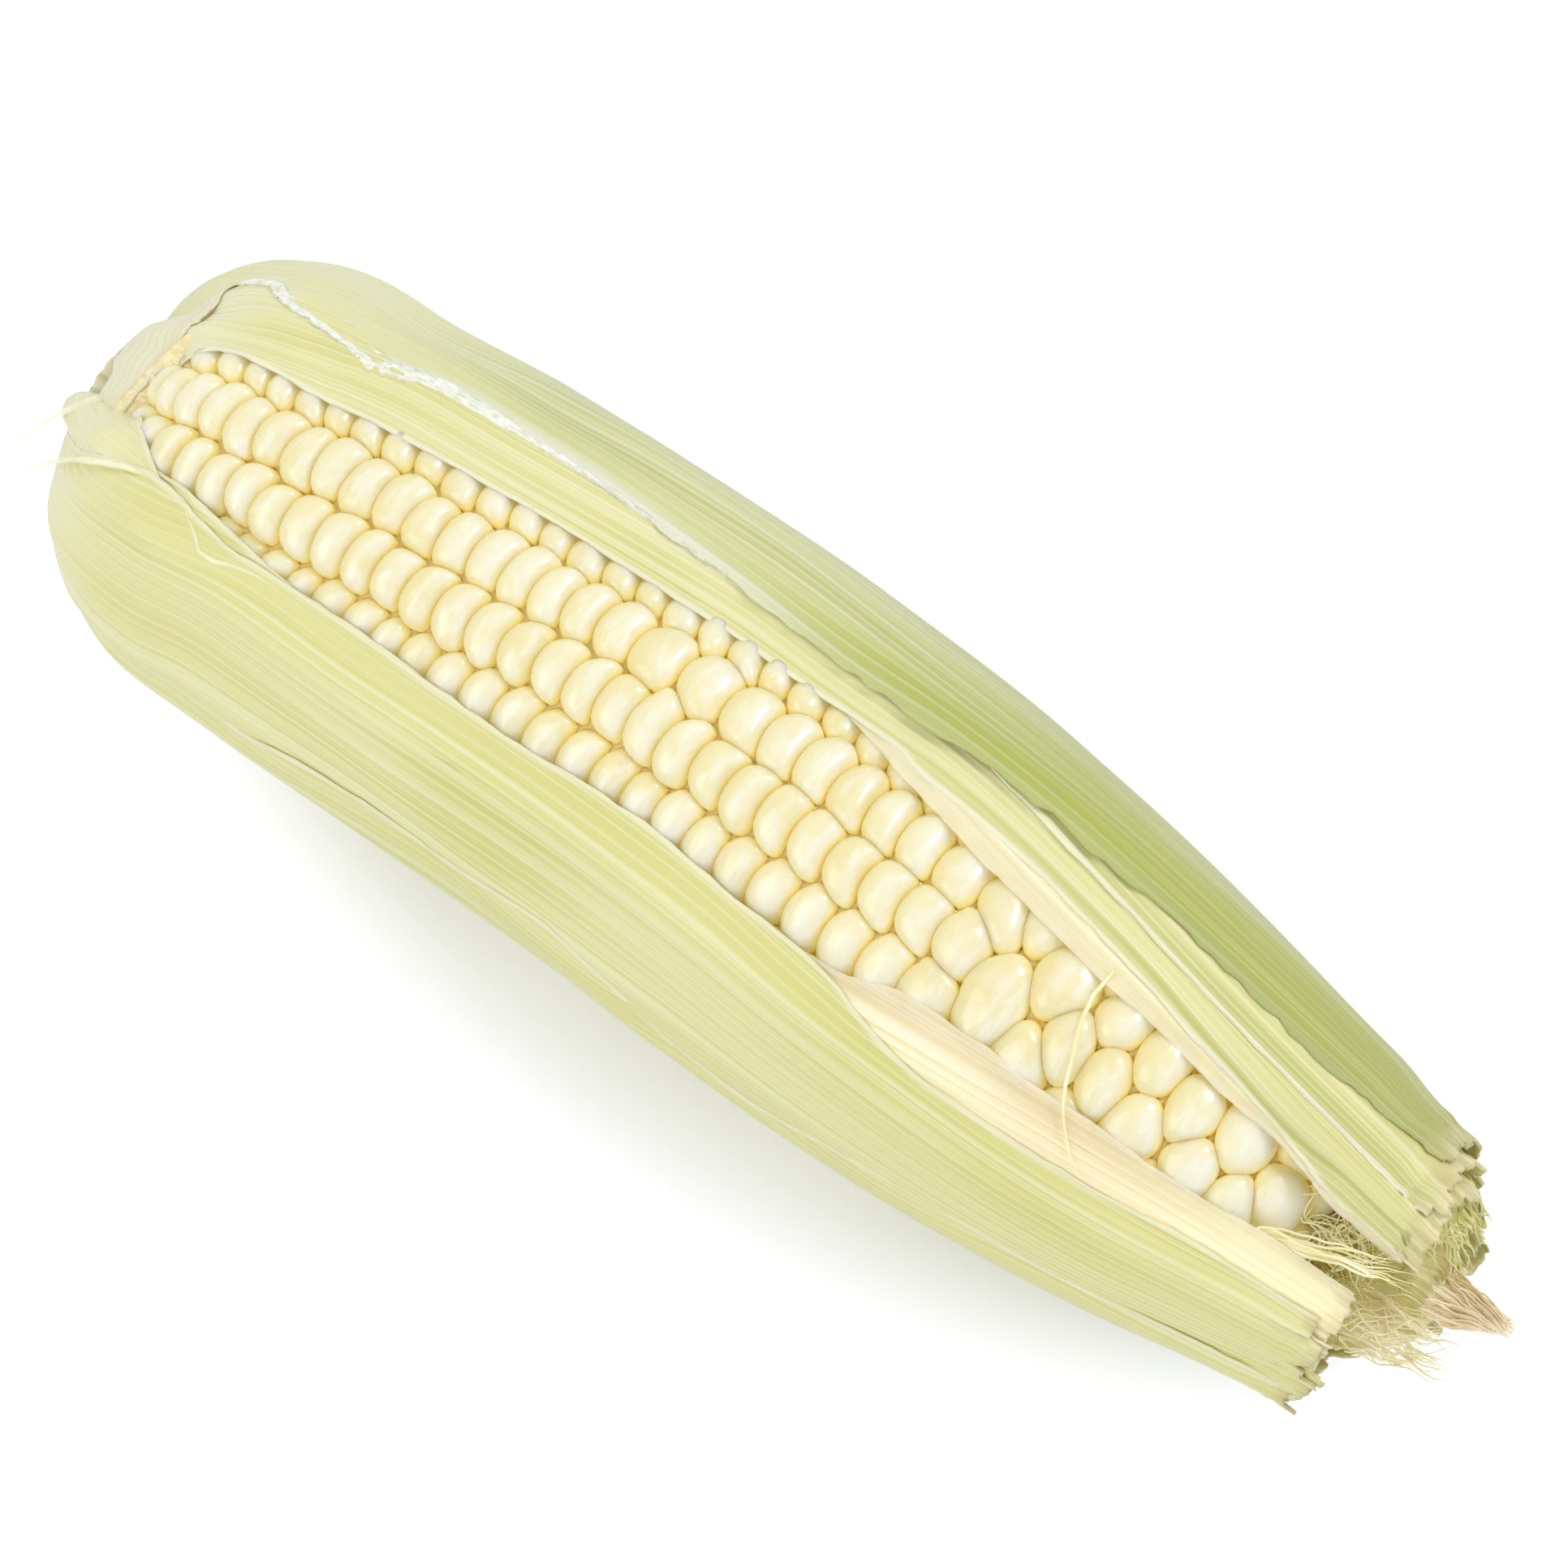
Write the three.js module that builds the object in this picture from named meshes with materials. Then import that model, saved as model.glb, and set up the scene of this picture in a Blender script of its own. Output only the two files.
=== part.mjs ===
// An ear of white corn lying on its side in its husk. The husk is torn open along the front,
// so that the kernels show. The ear runs along X: the butt is at -X, and the cut husk and
// the silk are at +X. Every leaf is a closed sheet that lies over the leaves inside it.

import * as THREE from 'three';

const DEG = Math.PI / 180;

// Driving sizes, in millimetres and degrees.
const AXIS_HEIGHT = 28.6;          // ear axis above the table
const OPEN_TILT = 24.6;            // how far the middle of the opening leans toward -Y
const BOTTOM = 180 + OPEN_TILT;    // angle of the side that rests on the table
const LEAF_THICKNESS = 0.55;
const LEAF_PITCH = 0.95;           // leaf thickness plus the gap to the next leaf
const INNER_GAP = 0.55;            // base surface to the middle of the innermost leaf
const COLUMN_STEP = 360 / 26;      // width of one leaf facet around the ear
const EDGE_STEP = 0.7;             // narrowest facet, at a leaf's edge
const SHANK_RADIUS = 8.0;
const SHANK_START = -90.6;
const SHANK_CUT = -99.4;
const KERNEL_ROWS = 18;
const KERNEL_CROWN = 1.3;          // how far a kernel stands out of its creases
const TIP_KERNEL = 7.4;            // kernel width where the rows end
const ROWS_END = 46;               // the straight rows end here and loose rings follow

// Husk lining, from the butt round to the cut end: position along the ear, radius.
const LINING = [
  [-93, 8.8], [-92, 12.6], [-88.5, 18.2], [-81, 22.5], [-68, 24.3], [-40, 24.7],
  [0, 24.6], [25, 23.8], [45, 21.8], [65, 18.6], [80, 15.8], [98, 13.2],
];
// Sideways bow of the ear's axis.
const BOW = [[-110, 0], [-15, 0], [5, -0.7], [25, -1.7], [45, -2.9], [65, -4], [85, -5], [110, -6.6]];
// Depth of the creases between the kernels: position along the ear, radius.
const CREASES = [
  [-90, 5], [-89.8, 9.5], [-89, 13.6], [-87.5, 16.6], [-85, 18.8], [-81, 20.6], [-68, 22.3],
  [-40, 22.7], [0, 22.6], [25, 21.9], [45, 20], [62, 16.7], [74, 13], [81, 8], [84, 2.5],
];
// How much fuller the leaves lie on the upper and the lower side: position along the ear, amount.
const UPPER_FULLNESS = [
  [-93, 1], [-86, 1.3], [-80, 1.6], [-73, 1], [-65, 0.3], [-50, 1.4], [-35, 2], [10, 1.9],
  [40, 1.6], [78, 1.4], [86, 0.5], [98, 0.3],
];
const LOWER_FULLNESS = [
  [-93, 2.2], [-88, 2.4], [-80, 1.5], [-72, 0.8], [-62, 0.2], [-30, 0], [0, 0.9], [60, 0.9],
  [80, 0.5], [90, 0.2],
];
// Spacing of the kernels along a row.
const KERNEL_SPACING = [[-90, 4.0], [-40, 4.45], [0, 4.75], [46, 5.6]];
// Turn of the row below the middle of the opening.
const ROW_TURN = [[-90, -9], [-80, -8], [-50, -2.5], [-10, 3], [10, 3.5], [30, 4.5], [50, 0]];

// Where the leaf facets end, by distance along the lining: close together round the butt.
const STATIONS = [0, 3.5, 7, 11, 15.5, 20.5, 27, 36, 50, 68, 86, 104, 122, 139, 155, 170, 184, 203];

// Leaves from the inside out: lower and upper edge, in degrees from the middle of the opening
// (positive toward +Y) against position along the ear, and the position of the cut end.
const LEAVES = [
  {
    name: 'leaf_inner_upper', end: 93, color: 0xe0d8a8,
    low: [
      [-93, 60], [-80, 50], [0, 46], [8, 41], [13, 37.5], [19, 34], [31, 29], [41, 26.3], [50, 23.5],
      [60, 23.3], [68, 21.6], [75, 21.4], [80, 18], [84.5, 13], [98, 11.5],
    ],
    high: [[-93, 150], [98, 150]],
  },
  {
    name: 'leaf_inner_lower', end: 92.5, color: 0xe3dab0,
    low: [[-93, -145], [98, -145]],
    high: [
      [-93, -40], [-80, -30], [0, -28], [10, -25.5], [16, -23], [24, -21.5], [31, -16], [38, -14.2],
      [45, -14.5], [51, -15.8], [58, -15], [66, -17.2], [74, -17], [80, -15], [98, -15],
    ],
  },
  {
    name: 'leaf_inner_back', end: 94, color: 0xdcdca4,
    low: [[-93, 135], [98, 135]],
    high: [[-93, 228], [98, 228]],
  },
  {
    name: 'leaf_upper_second', end: 95.5, color: 0xdfe2a6,
    low: [
      [-93, 16], [-86.5, 23.5], [-84.5, 28], [-79.5, 30.5], [-70, 30.8], [-59, 33.5], [-30, 39],
      [0, 40.5], [14, 40.8], [19, 38.3], [34, 36.7], [47, 33], [60, 29.5], [70, 26.5], [78, 22.5],
      [84.5, 16], [98, 14.5],
    ],
    high: [[-93, 165], [98, 165]],
  },
  {
    name: 'leaf_lower_second', end: 92, color: 0xdde0a2,
    low: [[-93, -158], [98, -158]],
    high: [
      [-93, -30], [-84, -17], [-76, -14], [-70, -15.5], [-64, -17.5], [-60, -19.5], [-40, -22],
      [0, -23], [30, -33], [98, -38],
    ],
  },
  {
    name: 'leaf_back_second', end: 95, color: 0xd3d995,
    low: [[-93, 155], [98, 155]],
    high: [[-93, 225], [98, 225]],
  },
  {
    name: 'leaf_upper_third', end: 91.5, color: 0xd6dc95,
    low: [[-93, 95], [-50, 80], [0, 62], [30, 48], [50, 43], [70, 38], [98, 33]],
    high: [[-93, 152], [98, 152]],
  },
  {
    name: 'leaf_butt_cap', end: -87.6, color: 0xe4dfae,
    low: [[-93, -50], [-80, -50]],
    high: [[-93, 100], [-80, 100]],
  },
  {
    name: 'leaf_butt_flap', end: -75, color: 0xe0e29e,
    low: [[-93, -80], [-76, -62]],
    high: [[-93, -5], [-88.3, -3.8], [-83.8, -9.5], [-79.6, -14.5], [-75, -19]],
  },
  {
    name: 'leaf_lower_main', end: 91, color: 0xdbdf97,
    low: [[-93, -120], [98, -120]],
    high: [
      [-93, -34], [-90.7, -29.5], [-84.3, -18.5], [-79.3, -15.5], [-76, -16], [-72, -18],
      [-68, -19.5], [-64, -20], [-58, -19.6], [-45, -19.8], [-34, -20.8], [-20, -20.8],
      [-12, -19.6], [-4, -19.2], [4, -20.8], [12, -21.8], [18, -21.8], [23, -23.3], [29, -27], [35, -30.5], [40, -32], [60, -32.5],
      [74, -30], [83, -30.5], [98, -27],
    ],
  },
  {
    name: 'leaf_upper_outer', end: 91, color: 0xbccb78,
    low: [
      [-93, 46], [-89.5, 50], [-87, 57], [-84, 59], [-79.5, 53], [-72, 51.5], [-65, 49.5], [-56, 53],
      [-39, 53], [-13, 50], [21, 47], [45, 49], [72, 49], [98, 55],
    ],
    high: [[-93, 168], [98, 168]],
  },
  {
    name: 'leaf_lower_outer', end: 91.5, color: 0xdadf94,
    low: [[-93, -164], [98, -164]],
    high: [
      [-93, -75], [-85, -72], [-62, -69.5], [-45, -64], [-26, -63.5], [-18, -60.5], [-13, -59.5],
      [-4, -63], [12, -74], [20, -76], [32, -70], [45, -67.5], [60, -69], [77, -66], [98, -70],
    ],
  },
  {
    name: 'leaf_back_outer', end: 95.5, color: 0xc6d182,
    low: [[-93, 149.2], [98, 149.2]],
    high: [[-93, 232.3], [98, 232.3]],
  },
];

// Smooth curve through knots, without overshoot.
function curve(knots, at) {
  const count = knots.length;
  const x = Math.min(Math.max(at, knots[0][0]), knots[count - 1][0]);
  let i = 0;
  while (i < count - 2 && x > knots[i + 1][0]) {
    i += 1;
  }
  const slope = (k) => (knots[k + 1][1] - knots[k][1]) / (knots[k + 1][0] - knots[k][0]);
  const tangent = (k) => {
    if (k < 1 || k > count - 2 || slope(k - 1) * slope(k) <= 0) {
      return 0;
    }
    return (2 * slope(k - 1) * slope(k)) / (slope(k - 1) + slope(k));
  };
  const width = knots[i + 1][0] - knots[i][0];
  const t = (x - knots[i][0]) / width;
  return (2 * t ** 3 - 3 * t ** 2 + 1) * knots[i][1]
    + (t ** 3 - 2 * t ** 2 + t) * width * tangent(i)
    + (3 * t ** 2 - 2 * t ** 3) * knots[i + 1][1]
    + (t ** 3 - t ** 2) * width * tangent(i + 1);
}

// A profile line measured along its own length.
class Profile {
  constructor(points) {
    const line = new THREE.CatmullRomCurve3(
      points.map(([x, r]) => new THREE.Vector3(x, r, 0)), false, 'chordal');
    this.line = line;
    this.length = line.getLength();
    line.arcLengthDivisions = 800;
    line.updateArcLengths();
    this.length = line.getLength();
  }

  at(distance) {
    const u = Math.min(Math.max(distance / this.length, 0), 1);
    const point = this.line.getPointAt(u);
    const along = this.line.getTangentAt(u);
    return { x: point.x, r: point.y, nx: -along.y, nr: along.x };
  }

  distanceTo(x) {
    let low = 0;
    let high = this.length;
    while (high - low > 1e-6) {
      const middle = (low + high) / 2;
      if (this.at(middle).x < x) {
        low = middle;
      } else {
        high = middle;
      }
    }
    return (low + high) / 2;
  }
}

const lining = new Profile(LINING);
const creases = new Profile(CREASES);

// 1 over a leaf and one facet beyond its edges, falling to 0 one facet later.
function cover(leaf, x, phi) {
  const low = curve(leaf.low, x);
  const high = curve(leaf.high, x);
  const turn = ((phi - (low + high) / 2 + 540) % 360 + 360) % 360 - 180;
  const outside = Math.abs(turn) - (high - low) / 2;
  const around = THREE.MathUtils.smoothstep(outside, COLUMN_STEP, 2 * COLUMN_STEP);
  const short = leaf.end < 0 ? THREE.MathUtils.smoothstep(x, leaf.end + 7, leaf.end + 20) : 0;
  return (1 - around) * (1 - short);
}

function fullness(x, phi) {
  const turn = ((phi + 180) % 360 + 360) % 360 - 180;
  const { smoothstep } = THREE.MathUtils;
  const above = smoothstep(turn, 38, 75) * (1 - smoothstep(turn, 115, 165));
  const below = smoothstep(turn, -165, -120) * (1 - smoothstep(turn, -65, -35));
  return curve(UPPER_FULLNESS, x) * above + curve(LOWER_FULLNESS, x) * below;
}

function height(count, x, phi) {
  let sum = INNER_GAP + fullness(x, phi);
  for (const leaf of LEAVES.slice(0, count)) {
    sum += LEAF_PITCH * cover(leaf, x, phi);
  }
  return sum;
}

// A point at x, at radius r and angle phi around the bowed axis. The ear has settled: nothing
// comes closer to the table than the leaves that lie below it, depth in all.
function place(x, r, phi, depth) {
  const open = OPEN_TILT * DEG;
  const up = Math.cos(phi * DEG) * r;
  const side = Math.sin(phi * DEG) * r;
  const y = -Math.sin(open) * up + Math.cos(open) * side + curve(BOW, x);
  const z = AXIS_HEIGHT + Math.cos(open) * up + Math.sin(open) * side;
  return new THREE.Vector3(x, y, Math.max(z, depth));
}

function outermost(x, phi) {
  return height(LEAVES.length, x, phi) - LEAF_PITCH + LEAF_THICKNESS / 2;
}

// Corner of the facets that all leaves share: row along the ear, line around it.
function corner(index, row, line, lift) {
  const base = lining.at(STATIONS[row]);
  const phi = BOTTOM + line * COLUMN_STEP;
  const away = height(index, base.x, phi) + lift;
  const depth = Math.max(outermost(base.x, phi) - away, 0);
  return place(base.x + base.nx * away, base.r + base.nr * away, phi, depth);
}

// A point of leaf number index, which lies on the flat facets between four corners.
function leafPoint(index, distance, phi, lift) {
  const row = Math.min(STATIONS.filter((each) => each <= distance).length, STATIONS.length - 1) - 1;
  const line = Math.floor((phi - BOTTOM) / COLUMN_STEP);
  const along = (distance - STATIONS[row]) / (STATIONS[row + 1] - STATIONS[row]);
  const around = (phi - BOTTOM) / COLUMN_STEP - line;
  const near = corner(index, row, line, lift).lerp(corner(index, row, line + 1, lift), around);
  const far = corner(index, row + 1, line, lift).lerp(corner(index, row + 1, line + 1, lift), around);
  return near.lerp(far, along);
}

function meshFrom(name, points, faces, color, roughness) {
  const geometry = new THREE.BufferGeometry();
  const positions = points.flatMap((point) => [point.x, point.y, point.z]);
  geometry.setAttribute('position', new THREE.Float32BufferAttribute(positions, 3));
  geometry.setIndex(faces.flat());
  geometry.computeVertexNormals();
  const material = new THREE.MeshStandardMaterial({ color, roughness, metalness: 0 });
  const mesh = new THREE.Mesh(geometry, material);
  mesh.name = name;
  return mesh;
}

// A closed sheet between an outer and an inner grid of points.
function sheet(name, outer, inner, color) {
  const rows = outer.length;
  const columns = outer[0].length;
  const points = [...outer.flat(), ...inner.flat()];
  const top = (i, j) => i * columns + j;
  const bottom = (i, j) => rows * columns + i * columns + j;
  const faces = [];
  const quad = (a, b, c, d) => faces.push([a, b, c], [a, c, d]);
  for (let i = 0; i < rows - 1; i += 1) {
    for (let j = 0; j < columns - 1; j += 1) {
      quad(top(i, j), top(i + 1, j), top(i + 1, j + 1), top(i, j + 1));
      quad(bottom(i, j), bottom(i, j + 1), bottom(i + 1, j + 1), bottom(i + 1, j));
    }
  }
  for (let i = 0; i < rows - 1; i += 1) {
    quad(top(i, 0), bottom(i, 0), bottom(i + 1, 0), top(i + 1, 0));
    quad(top(i, columns - 1), top(i + 1, columns - 1), bottom(i + 1, columns - 1), bottom(i, columns - 1));
  }
  for (let j = 0; j < columns - 1; j += 1) {
    quad(top(0, j), top(0, j + 1), bottom(0, j + 1), bottom(0, j));
    quad(top(rows - 1, j), bottom(rows - 1, j), bottom(rows - 1, j + 1), top(rows - 1, j + 1));
  }
  return meshFrom(name, points, faces, color, 0.6);
}

// Angles of one row of a leaf: the shared lines, squeezed together where they pass its edges.
function rowAngles(low, high, first, last) {
  const angles = [];
  for (let line = first; line <= last; line += 1) {
    const phi = Math.max(BOTTOM + line * COLUMN_STEP, low + EDGE_STEP * (line - first));
    angles.push(Math.min(phi, high - EDGE_STEP * (last - line)));
  }
  return angles;
}

function makeLeaf(leaf, index) {
  const end = lining.distanceTo(leaf.end);
  const distances = [...STATIONS.filter((distance) => distance < end - 3), end];
  const edges = distances.map((distance) => {
    const { x } = lining.at(distance);
    return [curve(leaf.low, x), curve(leaf.high, x)];
  });
  const first = Math.floor((Math.min(...edges.map((edge) => edge[0])) - BOTTOM) / COLUMN_STEP + 1e-6);
  const last = Math.ceil((Math.max(...edges.map((edge) => edge[1])) - BOTTOM) / COLUMN_STEP - 1e-6);
  const side = (lift) => distances.map((distance, i) => {
    const angles = rowAngles(...edges[i], first, last);
    return angles.map((phi) => leafPoint(index, distance, phi, lift));
  });
  return sheet(leaf.name, side(LEAF_THICKNESS / 2), side(-LEAF_THICKNESS / 2), leaf.color);
}

// Repeatable scatter between -1 and 1.
function scatter(i, j) {
  const value = Math.sin(i * 12.9898 + j * 78.233) * 43758.5453;
  return 2 * (value - Math.floor(value)) - 1;
}

// Table that unrolls the creases so that angles are kept: distance along the profile to
// distance over radius, summed.
function unroll() {
  const table = [[0, 0]];
  const steps = 1600;
  for (let i = 1; i <= steps; i += 1) {
    const before = creases.at(((i - 0.5) * creases.length) / steps);
    table.push([(i * creases.length) / steps, table[i - 1][1] + creases.length / steps / before.r]);
  }
  return table;
}
const UNROLLED = unroll();

function lookUp(value, from, to) {
  let low = 0;
  let high = UNROLLED.length - 1;
  while (high - low > 1) {
    const middle = (low + high) >> 1;
    if (UNROLLED[middle][from] <= value) {
      low = middle;
    } else {
      high = middle;
    }
  }
  const a = UNROLLED[low];
  const b = UNROLLED[high];
  return a[to] + ((value - a[from]) / (b[from] - a[from])) * (b[to] - a[to]);
}

// Middles of the kernels as { q, angle, real }, in rows and then in rings at the tip.
function kernelSeeds() {
  const seeds = [];
  const first = creases.distanceTo(-88.3);
  const rowsEnd = creases.distanceTo(ROWS_END);
  const add = (distance, angle, real) => seeds.push({ q: lookUp(distance, 0, 1), angle, real });
  const rowStep = (2 * Math.PI) / KERNEL_ROWS;
  for (let row = 0; row < KERNEL_ROWS; row += 1) {
    let distance = first + 1.2 * scatter(row, 3);
    for (let i = 0; distance < rowsEnd; i += 1) {
      const { x } = creases.at(distance);
      const angle = row * rowStep + curve(ROW_TURN, x) * DEG + 0.02 * scatter(row, i);
      add(distance, angle, i > 0);
      distance += curve(KERNEL_SPACING, x) * (1 + 0.06 * scatter(i, row + 40));
    }
  }
  let distance = rowsEnd + 0.55 * TIP_KERNEL;
  for (let ring = 0; ring < 20; ring += 1) {
    const inside = distance < creases.length - 2.2;
    const { r } = creases.at(Math.min(distance, creases.length - 2.2));
    const count = Math.max(Math.round((2 * Math.PI * r) / TIP_KERNEL), 4);
    for (let j = 0; j < count; j += 1) {
      const angle = ((j + 0.5 * (ring % 2) + 0.16 * scatter(ring, j + 7)) * 2 * Math.PI) / count;
      add(Math.min(distance, creases.length - 0.6), angle, inside);
    }
    if (!inside) {
      break;
    }
    distance += 0.86 * TIP_KERNEL;
  }
  return seeds;
}

// Part of a convex polygon that is nearer to seed a than to seed b.
function cutBetween(polygon, a, b) {
  const across = [b[0] - a[0], b[1] - a[1]];
  const limit = (b[0] ** 2 + b[1] ** 2 - a[0] ** 2 - a[1] ** 2) / 2;
  const side = (point) => point[0] * across[0] + point[1] * across[1] - limit;
  const kept = [];
  polygon.forEach((point, i) => {
    const next = polygon[(i + 1) % polygon.length];
    const here = side(point);
    const there = side(next);
    if (here <= 0) {
      kept.push(point);
    }
    if (here * there < 0) {
      const t = here / (here - there);
      kept.push([point[0] + t * (next[0] - point[0]), point[1] + t * (next[1] - point[1])]);
    }
  });
  return kept;
}

function cellAround(seed, seeds) {
  const reach = 0.75;
  const middle = [seed.q, seed.angle];
  let polygon = [[-1, -1], [1, -1], [1, 1], [-1, 1]].map(
    ([a, b]) => [middle[0] + a * reach, middle[1] + b * reach]);
  for (const other of seeds) {
    for (const turn of [-2 * Math.PI, 0, 2 * Math.PI]) {
      const near = [other.q, other.angle + turn];
      const gap = Math.hypot(near[0] - middle[0], near[1] - middle[1]);
      if (gap > 1e-9 && gap < 2 * reach) {
        polygon = cutBetween(polygon, middle, near);
      }
    }
  }
  return polygon;
}

function cobPoint(x, r, angle) {
  const phi = angle / DEG;
  const husk = lining.at(lining.distanceTo(x));
  return place(x, r, phi, outermost(husk.x, phi) + Math.max(husk.r - r, 0));
}

function makeCob() {
  const seeds = kernelSeeds();
  const points = [];
  const known = new Map();
  const corner = (q, angle) => {
    const turn = ((angle % (2 * Math.PI)) + 2 * Math.PI) % (2 * Math.PI);
    const key = `${Math.round(q * 1e5)},${Math.round(turn * 1e5) % Math.round(2e5 * Math.PI)}`;
    if (!known.has(key)) {
      const { x, r } = creases.at(lookUp(q, 1, 0));
      known.set(key, points.length);
      points.push(cobPoint(x, r, turn));
    }
    return known.get(key);
  };
  const faces = [];
  const open = new Map();
  for (const seed of seeds.filter((each) => each.real)) {
    const cell = cellAround(seed, seeds);
    const middle = [0, 1].map((k) => cell.reduce((sum, point) => sum + point[k], 0) / cell.length);
    const corners = cell.map(([q, angle]) => corner(q, angle)).filter((c, i, all) => c !== all.at(i - 1));
    const { x, r, nx, nr } = creases.at(lookUp(middle[0], 1, 0));
    const crown = points.length;
    points.push(cobPoint(x + nx * KERNEL_CROWN, r + nr * KERNEL_CROWN, middle[1]));
    corners.forEach((a, i) => {
      const b = corners[(i + 1) % corners.length];
      faces.push([crown, a, b]);
      if (open.get(a) === b) {
        throw new Error('kernel edge used twice');
      }
      open.set(`${a},${b}`, [a, b]);
    });
  }
  const rim = [...open.values()].filter(([a, b]) => !open.has(`${b},${a}`));
  const butt = points.length;
  points.push(place(CREASES[0][0], 0, 0, 0));
  const tip = points.length;
  points.push(place(CREASES.at(-1)[0] + 1.2, 0, 0, 0));
  for (const [a, b] of rim) {
    faces.push([points[a].x < 0 ? butt : tip, b, a]);
  }
  return meshFrom('cob', points, faces, 0xf0e8c0, 0.35);
}

// A closed tube along a line of points, with a radius for each point.
function tube(name, path, radii, sides, color) {
  const points = [];
  const faces = [];
  path.forEach((point, i) => {
    const before = path[Math.max(i - 1, 0)];
    const after = path[Math.min(i + 1, path.length - 1)];
    const along = new THREE.Vector3().subVectors(after, before).normalize();
    const across = new THREE.Vector3(0, 0, 1).cross(along).normalize();
    const over = new THREE.Vector3().crossVectors(along, across);
    for (let k = 0; k < sides; k += 1) {
      const angle = (2 * Math.PI * k) / sides;
      const spot = point.clone().addScaledVector(across, Math.cos(angle) * radii[i]);
      points.push(spot.addScaledVector(over, Math.sin(angle) * radii[i]));
    }
  });
  for (let i = 0; i < path.length - 1; i += 1) {
    for (let k = 0; k < sides; k += 1) {
      const next = (k + 1) % sides;
      const a = i * sides + k;
      const b = i * sides + next;
      faces.push([a, b, b + sides], [a, b + sides, a + sides]);
    }
  }
  const end = (path.length - 1) * sides;
  for (let k = 1; k < sides - 1; k += 1) {
    faces.push([0, k + 1, k], [end, end + k, end + k + 1]);
  }
  return meshFrom(name, points, faces, color, 0.7);
}

// A tube through points given as position along the ear, radius and angle.
function earTube(name, spots, radii, sides, color) {
  return tube(name, spots.map(([x, r, phi]) => place(x, r, phi, 0)), radii, sides, color);
}

function makeShank() {
  const path = [SHANK_START, (SHANK_START + SHANK_CUT) / 2, SHANK_CUT];
  const radii = [SHANK_RADIUS * 0.9, SHANK_RADIUS, SHANK_RADIUS * 0.97];
  return earTube('shank', path.map((x) => [x, 0, 0]), radii, 16, 0xe2e3b4);
}

const part = new THREE.Group();
part.name = 'corn_cob';
part.add(makeCob());
part.add(makeShank());
LEAVES.forEach((leaf, index) => part.add(makeLeaf(leaf, index)));
part.add(earTube('silk_tuft', [
  [86.6, 1, 0], [89, 1, 0], [93, 1.5, 0], [97, 2, 0], [99.5, 2, 0],
], [3.5, 6.2, 7.4, 7.8, 5.5], 12, 0xe6dca6));
part.add(earTube('silk_dried_tail', [
  [100.2, 4, 60], [102.5, 4.4, 60], [105, 4.6, 58], [107.5, 4.8, 55],
], [2.6, 2.8, 2, 0.6], 8, 0xd2b08c));
part.add(earTube('silk_strand', [
  [50, 20.7, 21], [51, 20.6, 14], [52.2, 20.5, 6], [53.6, 20.4, -2], [55.5, 20.3, -9], [57.5, 20.2, -13],
], [0.3, 0.35, 0.35, 0.35, 0.35, 0.3], 5, 0xeee6bd));

// The frame: middle of the resting footprint.
const box = new THREE.Box3().setFromObject(part);
const middle = box.getCenter(new THREE.Vector3());
for (const mesh of part.children) {
  mesh.geometry.translate(-middle.x, -middle.y, -box.min.z);
}

export default part;
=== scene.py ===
"""An ear of white corn in its torn husk: kernels, leaves, stalk stub and silk."""
import math
from dataclasses import dataclass

import bpy
import numpy as np
from mathutils import Matrix, Vector


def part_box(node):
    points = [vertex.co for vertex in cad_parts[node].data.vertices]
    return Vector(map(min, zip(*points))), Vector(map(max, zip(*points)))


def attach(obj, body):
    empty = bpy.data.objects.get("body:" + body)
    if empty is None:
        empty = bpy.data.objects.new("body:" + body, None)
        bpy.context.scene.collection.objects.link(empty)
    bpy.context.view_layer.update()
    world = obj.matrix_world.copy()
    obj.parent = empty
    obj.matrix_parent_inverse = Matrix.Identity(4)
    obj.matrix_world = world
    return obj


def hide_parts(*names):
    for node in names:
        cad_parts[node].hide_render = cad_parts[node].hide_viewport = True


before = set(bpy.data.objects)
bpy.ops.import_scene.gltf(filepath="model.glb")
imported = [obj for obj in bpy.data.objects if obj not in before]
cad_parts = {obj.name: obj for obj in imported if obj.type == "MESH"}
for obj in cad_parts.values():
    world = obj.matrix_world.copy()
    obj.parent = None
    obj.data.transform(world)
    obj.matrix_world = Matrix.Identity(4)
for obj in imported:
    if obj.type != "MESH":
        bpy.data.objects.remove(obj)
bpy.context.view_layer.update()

MM = 0.001

# Shape of the ear -----------------------------------------
# In millimetres and degrees. Positions run along it from the butt to the silk, and angles round
# it from the middle of the opening, positive toward +Y.

AXIS_HEIGHT = 28.6
OPEN_TILT = 24.6
DEGREE = 0.42  # length of one degree on the husk
LEAF_PITCH = 0.95
HALF_LEAF = 0.28
LAP_PITCH = 0.42  # where a torn edge lies on the leaf below it
INNER_GAP = 0.55
BED_LOW, BED_HIGH = -1.9, 0.1  # reach of the kernels' crests from the lining
CAP_LIFT = 0.9
TABLE_GAP = 0.03
KERNEL_ROWS = 18
FIRST_KERNEL = -88.9
ROWS_END = 40.0
TIP_KERNEL = 7.4
KERNEL_DEPTH = 2.2
LEAN = 0.18  # how far the crowns lean toward the silk

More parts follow.
